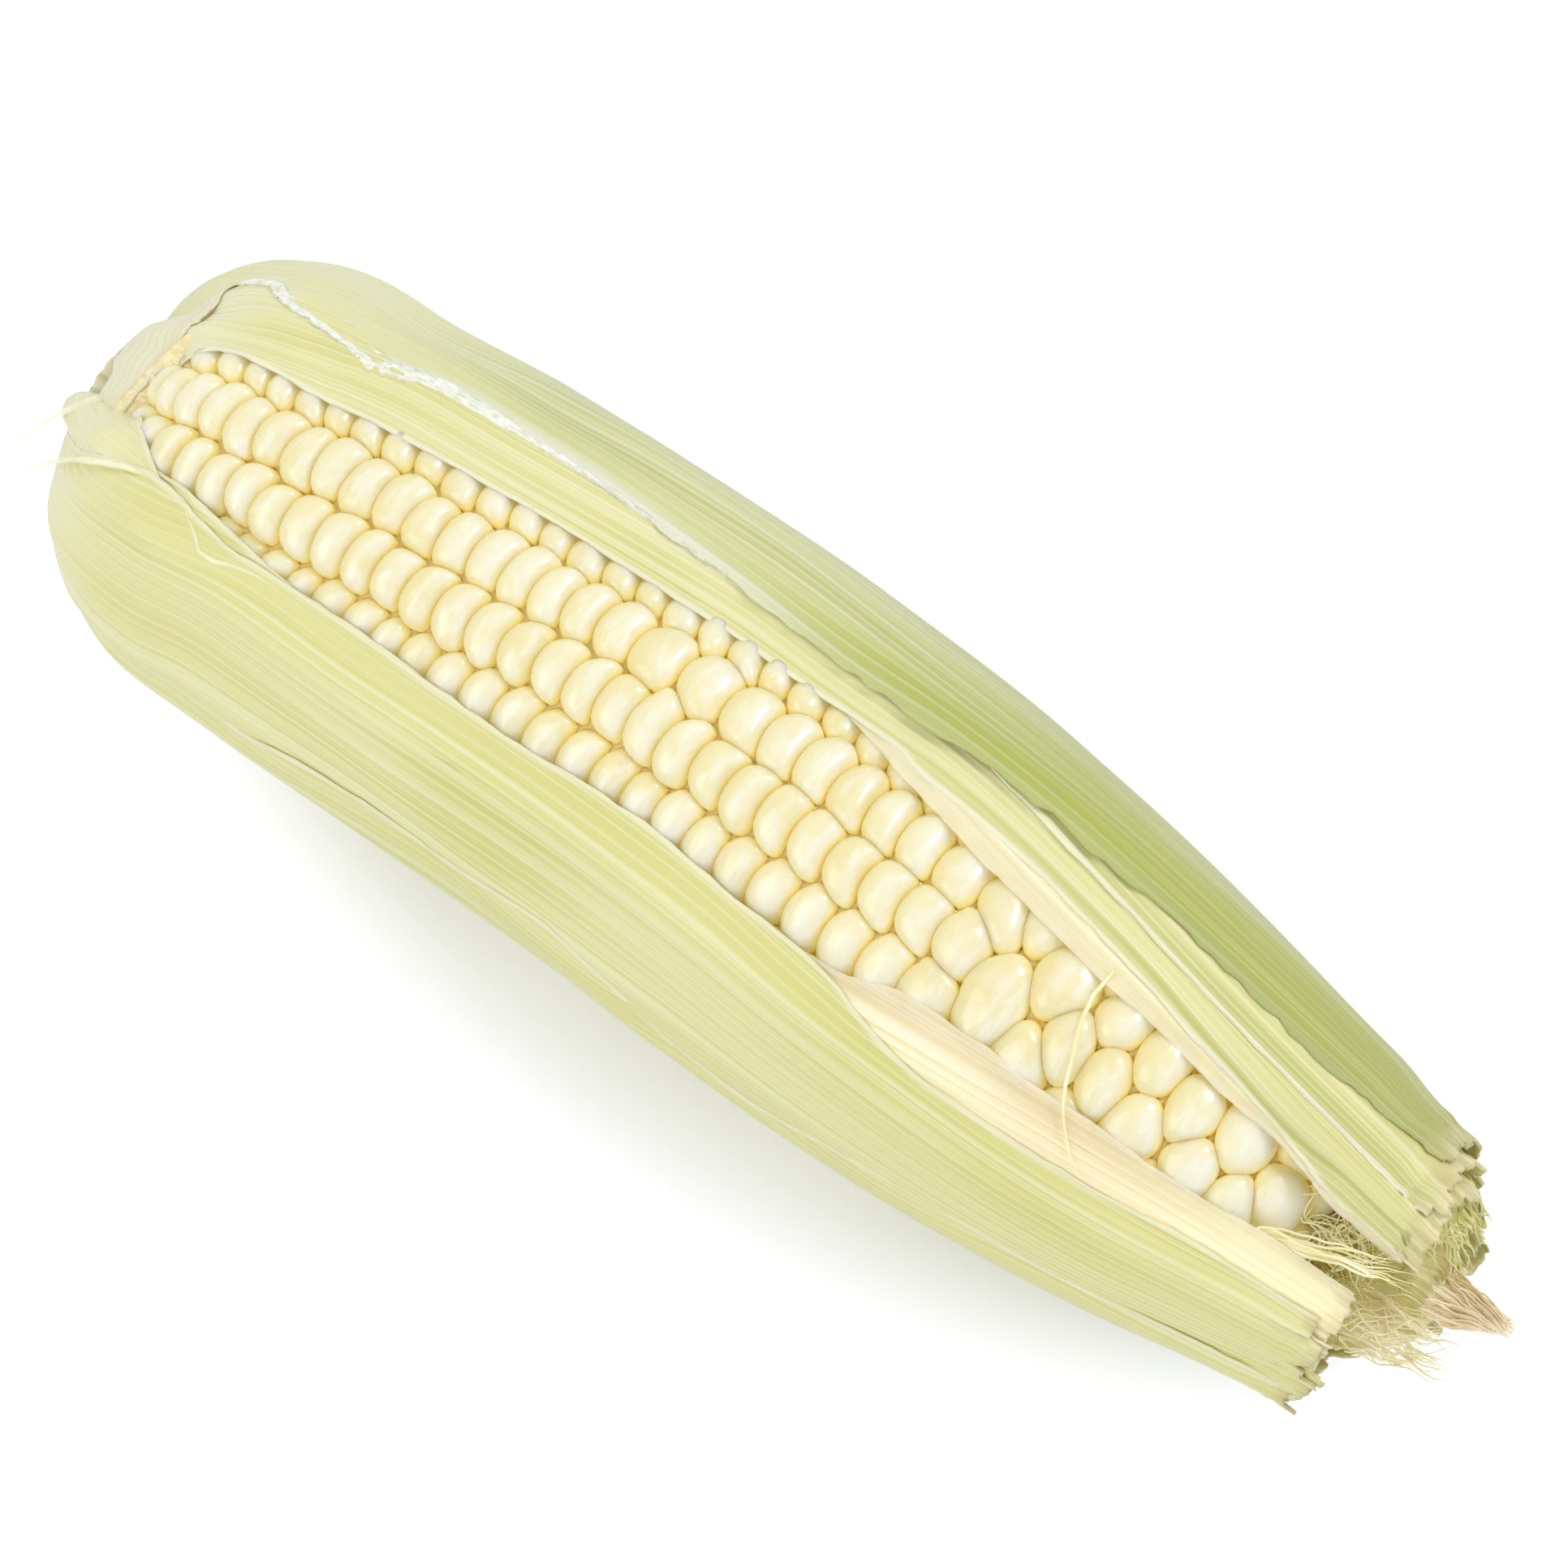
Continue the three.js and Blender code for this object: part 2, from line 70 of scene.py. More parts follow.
# Profiles that the leaves and the kernels lie on, as position and radius, and how far the
# axis bows sideways.
LINING = [(-93, 8.8), (-92, 12.6), (-88.5, 18.2), (-81, 22.5), (-68, 24.3), (-40, 24.7),
          (0, 24.6), (25, 23.8), (45, 21.8), (65, 18.6), (80, 15.8), (98, 13.2)]
BOW = [(-110, 0), (-15, 0), (5, -0.7), (25, -1.7), (45, -2.9), (65, -4), (85, -5), (110, -6.6)]
CREASES = [(-90, 5), (-89.8, 9.5), (-89, 13.6), (-87.5, 16.6), (-85, 18.8), (-81, 20.6),
           (-68, 22.3), (-40, 22.7), (0, 22.6), (25, 21.9), (45, 20), (62, 16.7), (74, 13),
           (81, 8), (84, 2.5)]

# How much fuller the leaves lie on either side, against position along the ear.
UPPER_FULLNESS = [(-93, 1), (-86, 1.3), (-80, 1.6), (-73, 1), (-65, 0.3), (-50, 1.4), (-35, 2),
                  (10, 1.9), (40, 1.6), (78, 1.4), (86, 0.5), (98, 0.3)]
LOWER_FULLNESS = [(-93, 1.0), (-88, 1.3), (-80, 1.2), (-72, 0.8), (-62, 0.2), (-30, 0), (0, 0.9),
                  (60, 0.9), (80, 0.5), (90, 0.2)]

# Kernels along a row lie KERNEL_SPACING apart. ROW_GRIP is what an angle counts against a
# distance where kernels meet. The sides between the kernels of a row bow by ROW_BOW, and the
# rows turn round the ear by ROW_TURN.
KERNEL_SPACING = [(-90, 4.0), (-40, 4.45), (0, 4.75), (46, 5.6)]
ROW_GRIP = 0.7
ROW_BOW = [(-90, 0.4), (-80, 0.85), (22, 0.85), (36, 0.5), (48, 0)]
ROW_TURN = [(-90, -9), (-80, -8), (-50, -2.5), (-10, 3), (10, 3.5), (30, 4.5), (50, 0)]


@dataclass
class Leaf:
    """One leaf. low and high are its edges round the ear, against position along it, and end is
    where it is cut. Its veins run along the edge it follows, and torn is how uneven its edges
    are. A leaf that hugs sinks onto what its torn edge lies on, one with a collar stands out at
    the stub, and the cut end gathers inward and is crumpled."""

    name: str
    end: float
    skin: str
    follow: str
    torn: float
    low: list
    high: list
    hugs: bool = False
    collar: bool = False
    gather: float = 0.0
    crumple: float = 0.25

    @property
    def long(self):
        return self.end > 0

    def cover(self, x, phi):
        """1 over the leaf, falling to 0 beyond its edges and its cut end."""
        low, high = curve(self.low, x), curve(self.high, x)
        turn = (phi - (low + high) / 2 + 180) % 360 - 180
        around = ease(1.5, 12, np.abs(turn) - (high - low) / 2)
        beyond = ease(self.end + 1.5, self.end + 10, x)
        return (1 - around) * (1 - beyond)

    def inside(self, x, phi):
        """How far inside the torn edge, or the end beside the stub, a spot lies."""
        if self.follow is None:
            return self.end - x + 0 * phi
        side = 1 if self.follow == "low" else -1
        return side * (phi - curve(getattr(self, self.follow), x)) * DEGREE


def straight(angle):
    return [(-93, angle), (98, angle)]


# From the inside out.
LEAVES = [
    Leaf(name="leaf_inner_upper", end=93, skin="tan", follow="low", torn=0.5, hugs=True, gather=4.5,
         low=[(-93, 60), (-80, 50), (0, 46), (8, 41), (13, 37.5), (19, 34), (31, 29), (41, 26.3),
              (50, 23.5), (60, 23.3), (68, 21.6), (75, 21.4), (80, 18), (84.5, 13), (98, 11.5)],
         high=straight(150)),
    Leaf(name="leaf_inner_lower", end=92.5, skin="tan", follow="high", torn=0.6, hugs=True,
         low=straight(-145),
         high=[(-93, -40), (-80, -30), (0, -28), (10, -25.5), (16, -23), (24, -21.5), (31, -16),
               (38, -14.2), (45, -14.5), (51, -15.8), (58, -15), (66, -17.2), (74, -17), (80, -15),
               (98, -15)]),
    Leaf(name="leaf_inner_back", end=95.5, skin="pale_thin", follow=None, torn=0.4,
         gather=4.2, crumple=0.55,
         low=straight(135), high=straight(228)),
    Leaf(name="leaf_upper_second", end=95.5, skin="pale_striped", follow="low", torn=0.5,
         hugs=True, gather=1.8,
         low=[(-93, 16), (-86.5, 23.5), (-84.5, 28), (-79.5, 30.5), (-70, 30.8), (-59, 33.5),
              (-30, 39), (0, 40.5), (14, 40.8), (19, 38.3), (34, 36.7), (47, 33), (60, 29.5),
              (70, 26.5), (78, 22.5), (84.5, 16), (98, 14.5)],
         high=straight(165)),
    Leaf(name="leaf_lower_second", end=92, skin="pale", follow="high", torn=0.4, hugs=True,
         low=straight(-158),
         high=[(-93, -30), (-84, -17), (-76, -14), (-70, -15.8), (-66, -17), (-60, -19.5),
               (-40, -22), (0, -23), (30, -33), (98, -38)]),
    Leaf(name="leaf_back_second", end=96, skin="pale_thin", follow=None, torn=0.4,
         gather=2.0, crumple=0.55,
         low=straight(155), high=straight(225)),
    Leaf(name="leaf_upper_third", end=93.5, skin="pale_striped", follow="low", torn=0.4,
         gather=0.6, crumple=0.55,
         low=[(-93, 95), (-50, 80), (0, 62), (30, 48), (50, 43), (70, 38), (98, 33)],
         high=straight(152)),
    Leaf(name="leaf_butt_cap", end=-87.6, skin="cream", follow=None, torn=0.8,
         hugs=True, collar=True,
         low=straight(-50), high=straight(100)),
    Leaf(name="leaf_butt_flap", end=-75, skin="pale", follow="high", torn=0.2,
         hugs=True, collar=True,
         low=[(-93, -80), (-76, -62)],
         high=[(-93, -5), (-88.3, -3.8), (-83.8, -9.5), (-79.6, -14.5), (-75, -19)]),
    Leaf(name="leaf_lower_main", end=91, skin="pale", follow="high", torn=0.4,
         hugs=True, collar=True,
         low=straight(-120),
         high=[(-93, -34), (-90.7, -29.5), (-84.3, -18.5), (-79.3, -15.5), (-76, -16),
               (-72, -18), (-68, -19.5), (-64, -20), (-58, -19.6), (-45, -19.8), (-34, -20.8),
               (-20, -20.8), (-12, -19.6), (-4, -19.2), (4, -20.8), (12, -21.8), (18, -21.8),
               (23, -23.3), (29, -27), (35, -30.5), (40, -32), (60, -32.5), (74, -30), (83, -30.5),
               (98, -27)]),
    Leaf(name="leaf_upper_outer", end=91, skin="green", follow="low", torn=1.3, collar=True,
         low=[(-93, 46), (-89.5, 50), (-87, 57), (-84, 59), (-79.5, 53), (-72, 51.5), (-65, 49.5),
              (-56, 53), (-39, 53), (-13, 50), (21, 47), (45, 49), (72, 49), (98, 55)],
         high=straight(168)),
    Leaf(name="leaf_lower_outer", end=91.5, skin="pale", follow="high", torn=0.6,
         low=straight(-164),
         high=[(-93, -75), (-85, -72), (-62, -69.5), (-45, -64), (-26, -63.5), (-18, -60.5),
               (-13, -59.5), (-4, -63), (12, -74), (20, -76), (32, -70), (45, -67.5), (60, -69),
               (77, -66), (98, -70)]),
    Leaf(name="leaf_back_outer", end=95.5, skin="green", follow=None, torn=0.5, crumple=0.55,
         low=straight(149.2), high=straight(232.3)),
]

# How much shorter the leaves are cut on the side where the ear lies, and the leaf base that
# caps the butt toward its lower end, against the angle.
END_TRIM = [(0, 0), (190, 0), (198, 2), (206, 4), (216, 8), (230, 8.5), (238, 5), (262, 3.5),
            (285, 1), (300, 0), (360, 0)]
CAP_TRIM = [(-30, 4.0), (-6, 3.8), (5, 3.1), (14, 2.3), (24, 1.8), (30, 1.2), (38, 0.6)]
LOWER_MAIN = next(leaf for leaf in LEAVES if leaf.name == "leaf_lower_main")


def hermite(t, start, stop, leaving, arriving):
    """Cubic from start to stop over t from 0 to 1, with its slopes at both ends."""
    return ((2 * t**3 - 3 * t**2 + 1) * start + (t**3 - 2 * t**2 + t) * leaving
            + (3 * t**2 - 2 * t**3) * stop + (t**3 - t**2) * arriving)


def curve(knots, at):
    """Smooth curve through knots, without overshoot."""
    xs, ys = np.array(knots, float).T
    slopes = np.diff(ys) / np.diff(xs)
    tangents = np.zeros(len(xs))
    for i in range(1, len(xs) - 1):
        if slopes[i - 1] * slopes[i] > 0:
            tangents[i] = 2 * slopes[i - 1] * slopes[i] / (slopes[i - 1] + slopes[i])
    at = np.clip(np.asarray(at, float), xs[0], xs[-1])
    i = np.clip(np.searchsorted(xs, at, side="right") - 1, 0, len(xs) - 2)
    width = xs[i + 1] - xs[i]
    return hermite((at - xs[i]) / width, ys[i], ys[i + 1], width * tangents[i], width * tangents[i + 1])


def ease(low, high, value):
    """0 below low, 1 above high, smooth between."""
    t = np.clip((np.asarray(value, float) - low) / (high - low), 0, 1)
    return t * t * (3 - 2 * t)


class Profile:
    """A profile line of positions and radii, measured along its own length."""

    def __init__(self, points):
        p = np.array(points, float)
        ends = np.vstack([2 * p[0] - p[1], p, 2 * p[-1] - p[-2]])
        spots = []
        for a, b, c, d in zip(ends[:-3], ends[1:-2], ends[2:-1], ends[3:]):
            ab, bc, cd = (np.linalg.norm(step) for step in (b - a, c - b, d - c))
            leaving = bc * ((b - a) / ab * bc / (ab + bc) + (c - b) / bc * ab / (ab + bc))
            arriving = bc * ((c - b) / bc * cd / (bc + cd) + (d - c) / cd * bc / (bc + cd))
            spots += [hermite(t, b, c, leaving, arriving) for t in np.linspace(0, 1, 30, endpoint=False)]
        self.line = np.array(spots + [p[-1]])
        steps = np.linalg.norm(np.diff(self.line, axis=0), axis=1)
        self.run = np.concatenate([[0], np.cumsum(steps)])
        self.length = self.run[-1]

    def spot(self, distance):
        """Position and radius at a distance along the line."""
        return np.array([np.interp(distance, self.run, part) for part in self.line.T])

    def at(self, distance):
        """Position, radius and outward direction at a distance along the line."""
        distance = np.asarray(distance)
        x, r = self.spot(distance)
        dx, dr = self.spot(distance + 0.8) - self.spot(distance - 0.8)
        size = np.hypot(dx, dr)
        return x, r, -dr / size, dx / size

    def distance_to(self, x):
        return np.interp(x, self.line[:, 0], self.run)

    def radius(self, x):
        return np.interp(x, self.line[:, 0], self.line[:, 1])


lining = Profile(LINING)
creases = Profile(CREASES)


def scatter(*keys):
    """Repeatable scatter between -1 and 1."""
    total = sum(np.asarray(key, float) * weight for key, weight in zip(keys, (12.9898, 78.233, 37.719)))
    value = np.sin(total) * 43758.5453
    return 2 * (value - np.floor(value)) - 1


def noise(u, v, seed=0):
    """Smooth noise between -1 and 1 with features one unit wide."""
    u, v = np.broadcast_arrays(np.asarray(u, float), np.asarray(v, float))
    iu, iv = np.floor(u), np.floor(v)
    fu, fv = ease(0, 1, u - iu), ease(0, 1, v - iv)
    near = scatter(iu, iv, seed) * (1 - fu) + scatter(iu + 1, iv, seed) * fu
    far = scatter(iu, iv + 1, seed) * (1 - fu) + scatter(iu + 1, iv + 1, seed) * fu
    return near * (1 - fv) + far * fv


def fullness(x, phi):
    """How much fuller the leaves lie on the upper and the lower side."""
    turn = (phi + 180) % 360 - 180
    above = ease(38, 75, turn) * (1 - ease(115, 165, turn))
    below = ease(-165, -120, turn) * (1 - ease(-65, -35, turn))
    return curve(UPPER_FULLNESS, x) * above + curve(LOWER_FULLNESS, x) * below


def height(count, x, phi):
    """Distance from the lining to the middle of leaf number count."""
    total = INNER_GAP + fullness(x, phi)
    for leaf in LEAVES[:count]:
        total = total + LEAF_PITCH * leaf.cover(x, phi)
    return total


def lie(count, x, phi):
    """Distance from the lining to the middle of leaf number count. The torn edge of a leaf that
    hugs sinks onto the kernels, or onto the leaf between."""
    leaf = LEAVES[count]
    level = height(count, x, phi)
    if not leaf.hugs:
        return level
    crest = creases.radius(x) + KERNEL_DEPTH / 2
    bed = np.clip(crest - lining.radius(x), BED_LOW, BED_HIGH) + 0 * phi
    if leaf.follow is None:
        bed = bed + CAP_LIFT
    base = bed
    for number, inner in enumerate(LEAVES[:count]):
        if inner.hugs and leaf.follow in (None, inner.follow):
            under = ease(-2.5, 0.5, inner.inside(x, phi)) * (inner.end > x)
            base = np.maximum(base, bed * (1 - under) + (lie(number, x, phi) + LAP_PITCH) * under)
    sunk = 1 - ease(0.5, 6.5, leaf.inside(x, phi))
    return level + (np.minimum(base, level) - level) * sunk


def outermost(x, phi):
    return height(len(LEAVES), x, phi) - LEAF_PITCH + HALF_LEAF


def swell(x, phi):
    """Unevenness that all the leaves share."""
    turn = np.cos(np.radians(phi)), np.sin(np.radians(phi))
    wide = noise(x / 31 + 3 * turn[0], 2.2 * turn[1] + 5, 3)
    narrow = noise(x / 15 + 5 * turn[0], 4.5 * turn[1] + 9, 4)
    return (0.45 * wide + 0.18 * narrow) * ease(-88, -60, x)


SHANK_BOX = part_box("shank")
SHANK_CUT = -99.4
SHIFT = Vector((SHANK_BOX[0][0] / MM - SHANK_CUT, (SHANK_BOX[0][1] + SHANK_BOX[1][1]) / 2 / MM, 0))


def place(x, r, phi, depth=0.0):
    """A point at x, at radius r and angle phi round the bowed axis, in metres. Nothing comes
    closer to the table than the leaves that lie below it, depth in all."""
    x, r, phi, depth = np.broadcast_arrays(*(np.asarray(value, float) for value in (x, r, phi, depth)))
    tilt = math.radians(OPEN_TILT)
    up, side = np.cos(np.radians(phi)) * r, np.sin(np.radians(phi)) * r
    y = -math.sin(tilt) * up + math.cos(tilt) * side + curve(BOW, x)
    z = AXIS_HEIGHT + math.cos(tilt) * up + math.sin(tilt) * side
    return np.stack([x + SHIFT.x, y + SHIFT.y, np.maximum(z, depth + TABLE_GAP)], axis=-1) * MM


def husk_point(distance, phi, away):
    """A point away from the lining, at a distance along it and an angle round it."""
    x, r, nx, nr = lining.at(distance)
    depth = np.maximum(outermost(x, phi) - away, 0)
    return place(x + nx * away, r + nr * away, phi, depth)


# Node trees -----------------------------------------------
# Arithmetic on a Value adds Math nodes; every other node comes from Graph.add.

def operator(operation, turned=False):
    """Method for an operator, with its two sides turned round for the reflected form."""
    def apply(self, other):
        sides = (other, self) if turned else (self, other)
        return self.graph.add("ShaderNodeMath", {"operation": operation}, dict(enumerate(sides)))
    return apply


class Value:
    """One output of a node, which can be used in expressions."""

    def __init__(self, graph, socket):
        self.graph, self.socket = graph, socket

    __add__ = __radd__ = operator("ADD")
    __mul__ = __rmul__ = operator("MULTIPLY")
    __sub__, __rsub__ = operator("SUBTRACT"), operator("SUBTRACT", turned=True)
    __truediv__, __rtruediv__ = operator("DIVIDE"), operator("DIVIDE", turned=True)
    __pow__ = operator("POWER")
    at_least = operator("MAXIMUM")

    def sine(self):
        return self.graph.add("ShaderNodeMath", {"operation": "SINE"}, {0: self})

    def clamp(self):
        return self.graph.add("ShaderNodeClamp", {}, {0: self})

    def between(self, low, high):
        """0 below low, 1 above high, smooth between."""
        return self.graph.add("ShaderNodeMapRange", {"interpolation_type": "SMOOTHSTEP"},
                              {"Value": self, "From Min": low, "From Max": high})


class Graph:
    """A node tree under construction."""

    def __init__(self, tree):
        self.tree = tree

    def add(self, kind, settings, inputs, output=0):
        node = self.tree.nodes.new(kind)
        for name, setting in settings.items():
            setattr(node, name, setting)
        for key, value in inputs.items():
            if isinstance(value, Value):
                self.tree.links.new(value.socket, node.inputs[key])
            else:
                node.inputs[key].default_value = value
        return Value(self, node.outputs[output]) if node.outputs else None

    def mix(self, factor, first, second):
        return self.add("ShaderNodeMix", {"data_type": "RGBA"}, {0: factor, 6: first, 7: second}, output=2)

    def noise(self, vector, scale, detail=2.0):
        return self.add("ShaderNodeTexNoise", {}, {"Vector": vector, "Scale": scale, "Detail": detail})

    def axis(self, vector, number):
        return self.add("ShaderNodeSeparateXYZ", {}, {0: vector}, output=number)

    def object_spot(self):
        return self.add("ShaderNodeTexCoord", {}, {}, output="Object")

    def drawn_out(self, *scale):
        """Object coordinates, scaled to draw a pattern out."""
        return self.add("ShaderNodeMapping", {}, {"Vector": self.object_spot(), "Scale": scale})

    def attribute(self, name):
        return self.add("ShaderNodeAttribute", {"attribute_name": name}, {}, output="Fac")

    def bump(self, height, strength, distance):
        return self.add("ShaderNodeBump", {}, {"Strength": strength, "Distance": distance, "Height": height})


def srgb(red, green, blue):
    """Linear colour from display values of 0 to 255."""
    parts = [value / 255 for value in (red, green, blue)]
    return tuple(p / 12.92 if p <= 0.04045 else ((p + 0.055) / 1.055) ** 2.4 for p in parts) + (1,)


def new_material(name):
    material = bpy.data.materials.new(name)
    material.use_nodes = True
    material.node_tree.nodes.clear()
    return material, Graph(material.node_tree)


def finish_material(graph, inputs):
    """Principled shader with the given inputs, and the material's output."""
    shader = graph.add("ShaderNodeBsdfPrincipled", {}, inputs)
    graph.add("ShaderNodeOutputMaterial", {}, {"Surface": shader})


def make_kernel_skin():
    """Pearly kernel: streaked crown, yellower flanks and golden creases, paler at the silk end.
    Part of the crown's white is a painted highlight on its side toward the silk; the yellow of
    the flanks and the gold of the creases are partly painted shade; the creases give off a
    painted golden light of their own; and the paler silk end is painted light on kernels that
    lie in the leaves' shade."""
    material, g = new_material("kernel_skin")
    rise, tone, side = (g.attribute(name) for name in ("rise", "tone", "side"))
    spot = g.object_spot()
    cloud = g.noise(spot, 330, 3)
    streaks = g.noise(g.drawn_out(1.0, 0.34, 0.34), 820)
    body = g.mix(tone, srgb(238, 225, 172), srgb(243, 233, 192))
    # Whiter crown of each kernel: partly its own pearly colour, partly a painted highlight on the side
    # toward the silk.
    crown = (side * 0.45 + rise + (cloud - 0.5) * 0.9 + (streaks - 0.5) * 1.0).between(0.7, 1.3)
    # Whiter crowns near the silk end: painted light on the tip kernels, which lie in the leaves' shade.
    tipward_painted_light = g.axis(spot, 0).between(0.056, 0.078) * rise.between(0.6, 0.95)
    milky_and_highlight = g.mix((crown * 0.8 + tipward_painted_light * 0.5).clamp(), body, srgb(247, 242, 222))
    milky_and_highlight = g.mix(tipward_painted_light * 0.4, milky_and_highlight, srgb(252, 249, 232))
    # Yellower on the side toward the butt and down the flanks: partly the kernels' own amber, partly painted
    # shade on the side turned from the light.
    amber_and_shade = (0.1 - side + (streaks - 0.5) * 1.2).between(0.2, 1.0) * rise.between(0.1, 0.5)
    warm = g.mix(amber_and_shade * (0.5 - tipward_painted_light * 0.25), milky_and_highlight, srgb(237, 218, 146))
    # Yellower lower flanks and darker golden creases: partly the kernels' own colour, partly painted shade
    # where the crevices close in.
    flank_and_shade = g.mix(rise.between(0.1, 0.5), srgb(242, 224, 150), warm)
    finish_material(g, {
        "Base Color": g.mix(rise.between(0.0, 0.2), srgb(222, 192, 104), flank_and_shade),
        "Roughness": 0.26 + (streaks - 0.5) * 0.25,
        "Normal": g.bump(cloud * 0.5 + streaks * 0.5, 0.6, 0.0006),
        # Painted light: a golden light that the creases and lower flanks give off of their own, standing in
        # for light scattered through the kernels.
        "Emission Color": g.mix(rise.between(0.25, 0.8), (0.11, 0.084, 0.008, 1), (0, 0, 0, 1)),
        "Emission Strength": 1.0,
        "Subsurface Weight": 0.9, "Subsurface Radius": (1.0, 0.92, 0.45), "Subsurface Scale": 0.0027,
        "Coat Weight": 0.85, "Coat Roughness": 0.11})
    return material


RIB_SPACING = 0.0105


def make_leaf_skin(name, base, streak, vein, groove, blush, butt, rim, reach=0.25, rim_width=0.9,
                   roughness=0.42, dry_reach=2.0, painted_glow=0.0, thin=0.0, band=None, age=None, stripe=None):
    """Ribbed leaf: base colour, broad streaks, pale veins, darker grooves and a blush in
    patches. It turns to the butt colour within reach of the butt, and to the rim colour at its
    edges; thin is how sheer its edges are; band is a strong colour beside the edge and age a
    dull one beyond; stripe is the colour of long stripes near the tip; dry_reach is how far the
    dry colour of the cut end goes. What it emits is painted light: a share of its own colour
    that it gives off, as if lit through."""
    material, g = new_material(name)
    spot = g.add("ShaderNodeUVMap", {"uv_map": "leaf"}, {})
    across, along = g.axis(spot, 0), g.axis(spot, 1)
    edge, tip = g.attribute("edge"), g.attribute("tip")

    def lines(width, length, seed, detail=2.0):
        where = g.add("ShaderNodeCombineXYZ", {}, {0: across / width, 1: along / length, 2: seed})
        return g.noise(where, 1, detail)

    broad = lines(0.05, 1.6, 3.1)
    fine = lines(0.011, 1.6, 7.7)
    thread = lines(0.0035, 1.0, 11.3, 1.0)
    patch = lines(0.22, 0.6, 17.9)
    wander = lines(0.04, 1.6, 23.5, 0.0)
    rib = (across * (2 * math.pi / RIB_SPACING) + wander * 7.0).sine()
    near_butt = 1 - along.between(reach * 0.35, reach)
    tints = [(patch.between(0.5, 0.72), 0.8, blush)]
    if band:
        away = 1 - near_butt
        beside = (1 - (edge + broad * 6).between(7, 14)) * (along.between(0.75, 1.25) * away)
        rim_strip = (1 - edge.between(0.6, 2.8)) * along.between(1.3, 1.6)
        tints += [(along.between(0.9, 1.4), 0.75, band), (beside, 0.85, band),
                  ((edge + broad * 8).between(11, 21) * away, 0.7, age),
                  (along.between(1.4, 1.85), 0.45, (172, 166, 94)), (rim_strip, 0.5, (154, 162, 68))]
    if stripe:
        striped = lines(0.028, 2.2, 61.7).between(0.47, 0.6) * along.between(1.1, 1.8)
        tints += [(striped, 0.8, stripe), (along.between(1.5, 1.95), 0.35, (202, 198, 130))]
    fade = 1 - along.between(0.8, 1.4) * (0.6 if band else 0.0)
    scratch = lines(0.0042, 0.11, 41.3, 0.0).between(0.79, 0.84) * patch.between(0.45, 0.6)
    ragged = edge + (fine - 0.5) * rim_width * 0.9
    rimmed = (1 - ragged.between(rim_width * 0.3, rim_width)) * g.attribute("rim")
    tints += [(fine.between(0.53, 0.66) * fade, 0.5, vein),
              (rib.between(0.2, 1.0) * thread.between(0.3, 0.6) * fade, 0.5, vein),
              (thread.between(0.54, 0.7), 0.4, groove), (near_butt, 0.85, butt),
              (scratch, 0.3, (150, 152, 88)), (rimmed, 0.8, rim)]
    color = g.mix(broad.between(0.36, 0.64), srgb(*base), srgb(*streak))
    for amount, strength, other in tints:
        color = g.mix(amount * strength, color, srgb(*other))
    dry = 1 - (tip + (fine - 0.5) * dry_reach).between(0.1 * dry_reach, dry_reach)
    straw = g.mix(fine.between(0.42, 0.6), srgb(204, 184, 132), srgb(230, 219, 180))
    color = g.mix(dry * 0.6, color, straw)
    inputs = {
        "Base Color": color, "Roughness": roughness + (broad - 0.5) * 0.25,
        "Normal": g.bump(fine * 0.5 + thread * 0.25 + broad * 0.4 + rib * 0.16, 0.6, 0.0004),
        "Subsurface Weight": 0.12, "Subsurface Radius": (0.8, 1.0, 0.35), "Subsurface Scale": 0.001,
        "Sheen Weight": 0.06, "Sheen Roughness": 0.5}
    # Painted light: the leaf gives off a share of its own colour, as if lit through.
    if painted_glow:
        inputs.update({"Emission Color": color, "Emission Strength": painted_glow})
    if thin:
        inputs["Alpha"] = 1 - thin * (1 - (edge + (fine - 0.5) * 2).between(0.5, 5.0))
    finish_material(g, inputs)
    return material


def make_silk_skin(name, pale, dark, painted_glow):
    material, g = new_material(name)
    cloud = g.noise(g.object_spot(), 180)
    color = g.mix(cloud.between(0.35, 0.65), srgb(*pale), srgb(*dark))
    # What the silk emits is painted light: a share of its own colour that it gives off, as if lit through.
    finish_material(g, {
        "Base Color": color, "Roughness": 0.45, "Emission Color": color, "Emission Strength": painted_glow,
        "Subsurface Weight": 0.2, "Subsurface Radius": (1.0, 0.8, 0.5), "Subsurface Scale": 0.0005})
    return material


def make_film_skin(name, pale, dull, fleck, ragged, reach, relief, painted_glow):
    """Dry film with dull flecks, which turns sheer where its edge attribute falls below reach.
    What it emits is painted light: a share of its own colour that it gives off, as if lit through.
    """
    material, g = new_material(name)
    drawn = g.drawn_out(0.4, 1.0, 1.0)
    cloud, flecks = g.noise(drawn, 700, 3), g.noise(drawn, 2300, 1)
    color = g.mix(cloud.between(0.4, 0.65), srgb(*pale), srgb(*dull))
    color = g.mix(flecks.between(0.5, 0.66) * 0.7, color, srgb(*fleck))
    finish_material(g, {
        "Base Color": color, "Roughness": 0.6 + (cloud - 0.5) * 0.2,
        "Normal": g.bump(flecks + cloud, relief, 0.0004),
        "Emission Color": color, "Emission Strength": painted_glow,
        "Alpha": (g.attribute("edge") + (flecks - 0.5) * ragged).between(0.0, reach) * 0.95})
    return material


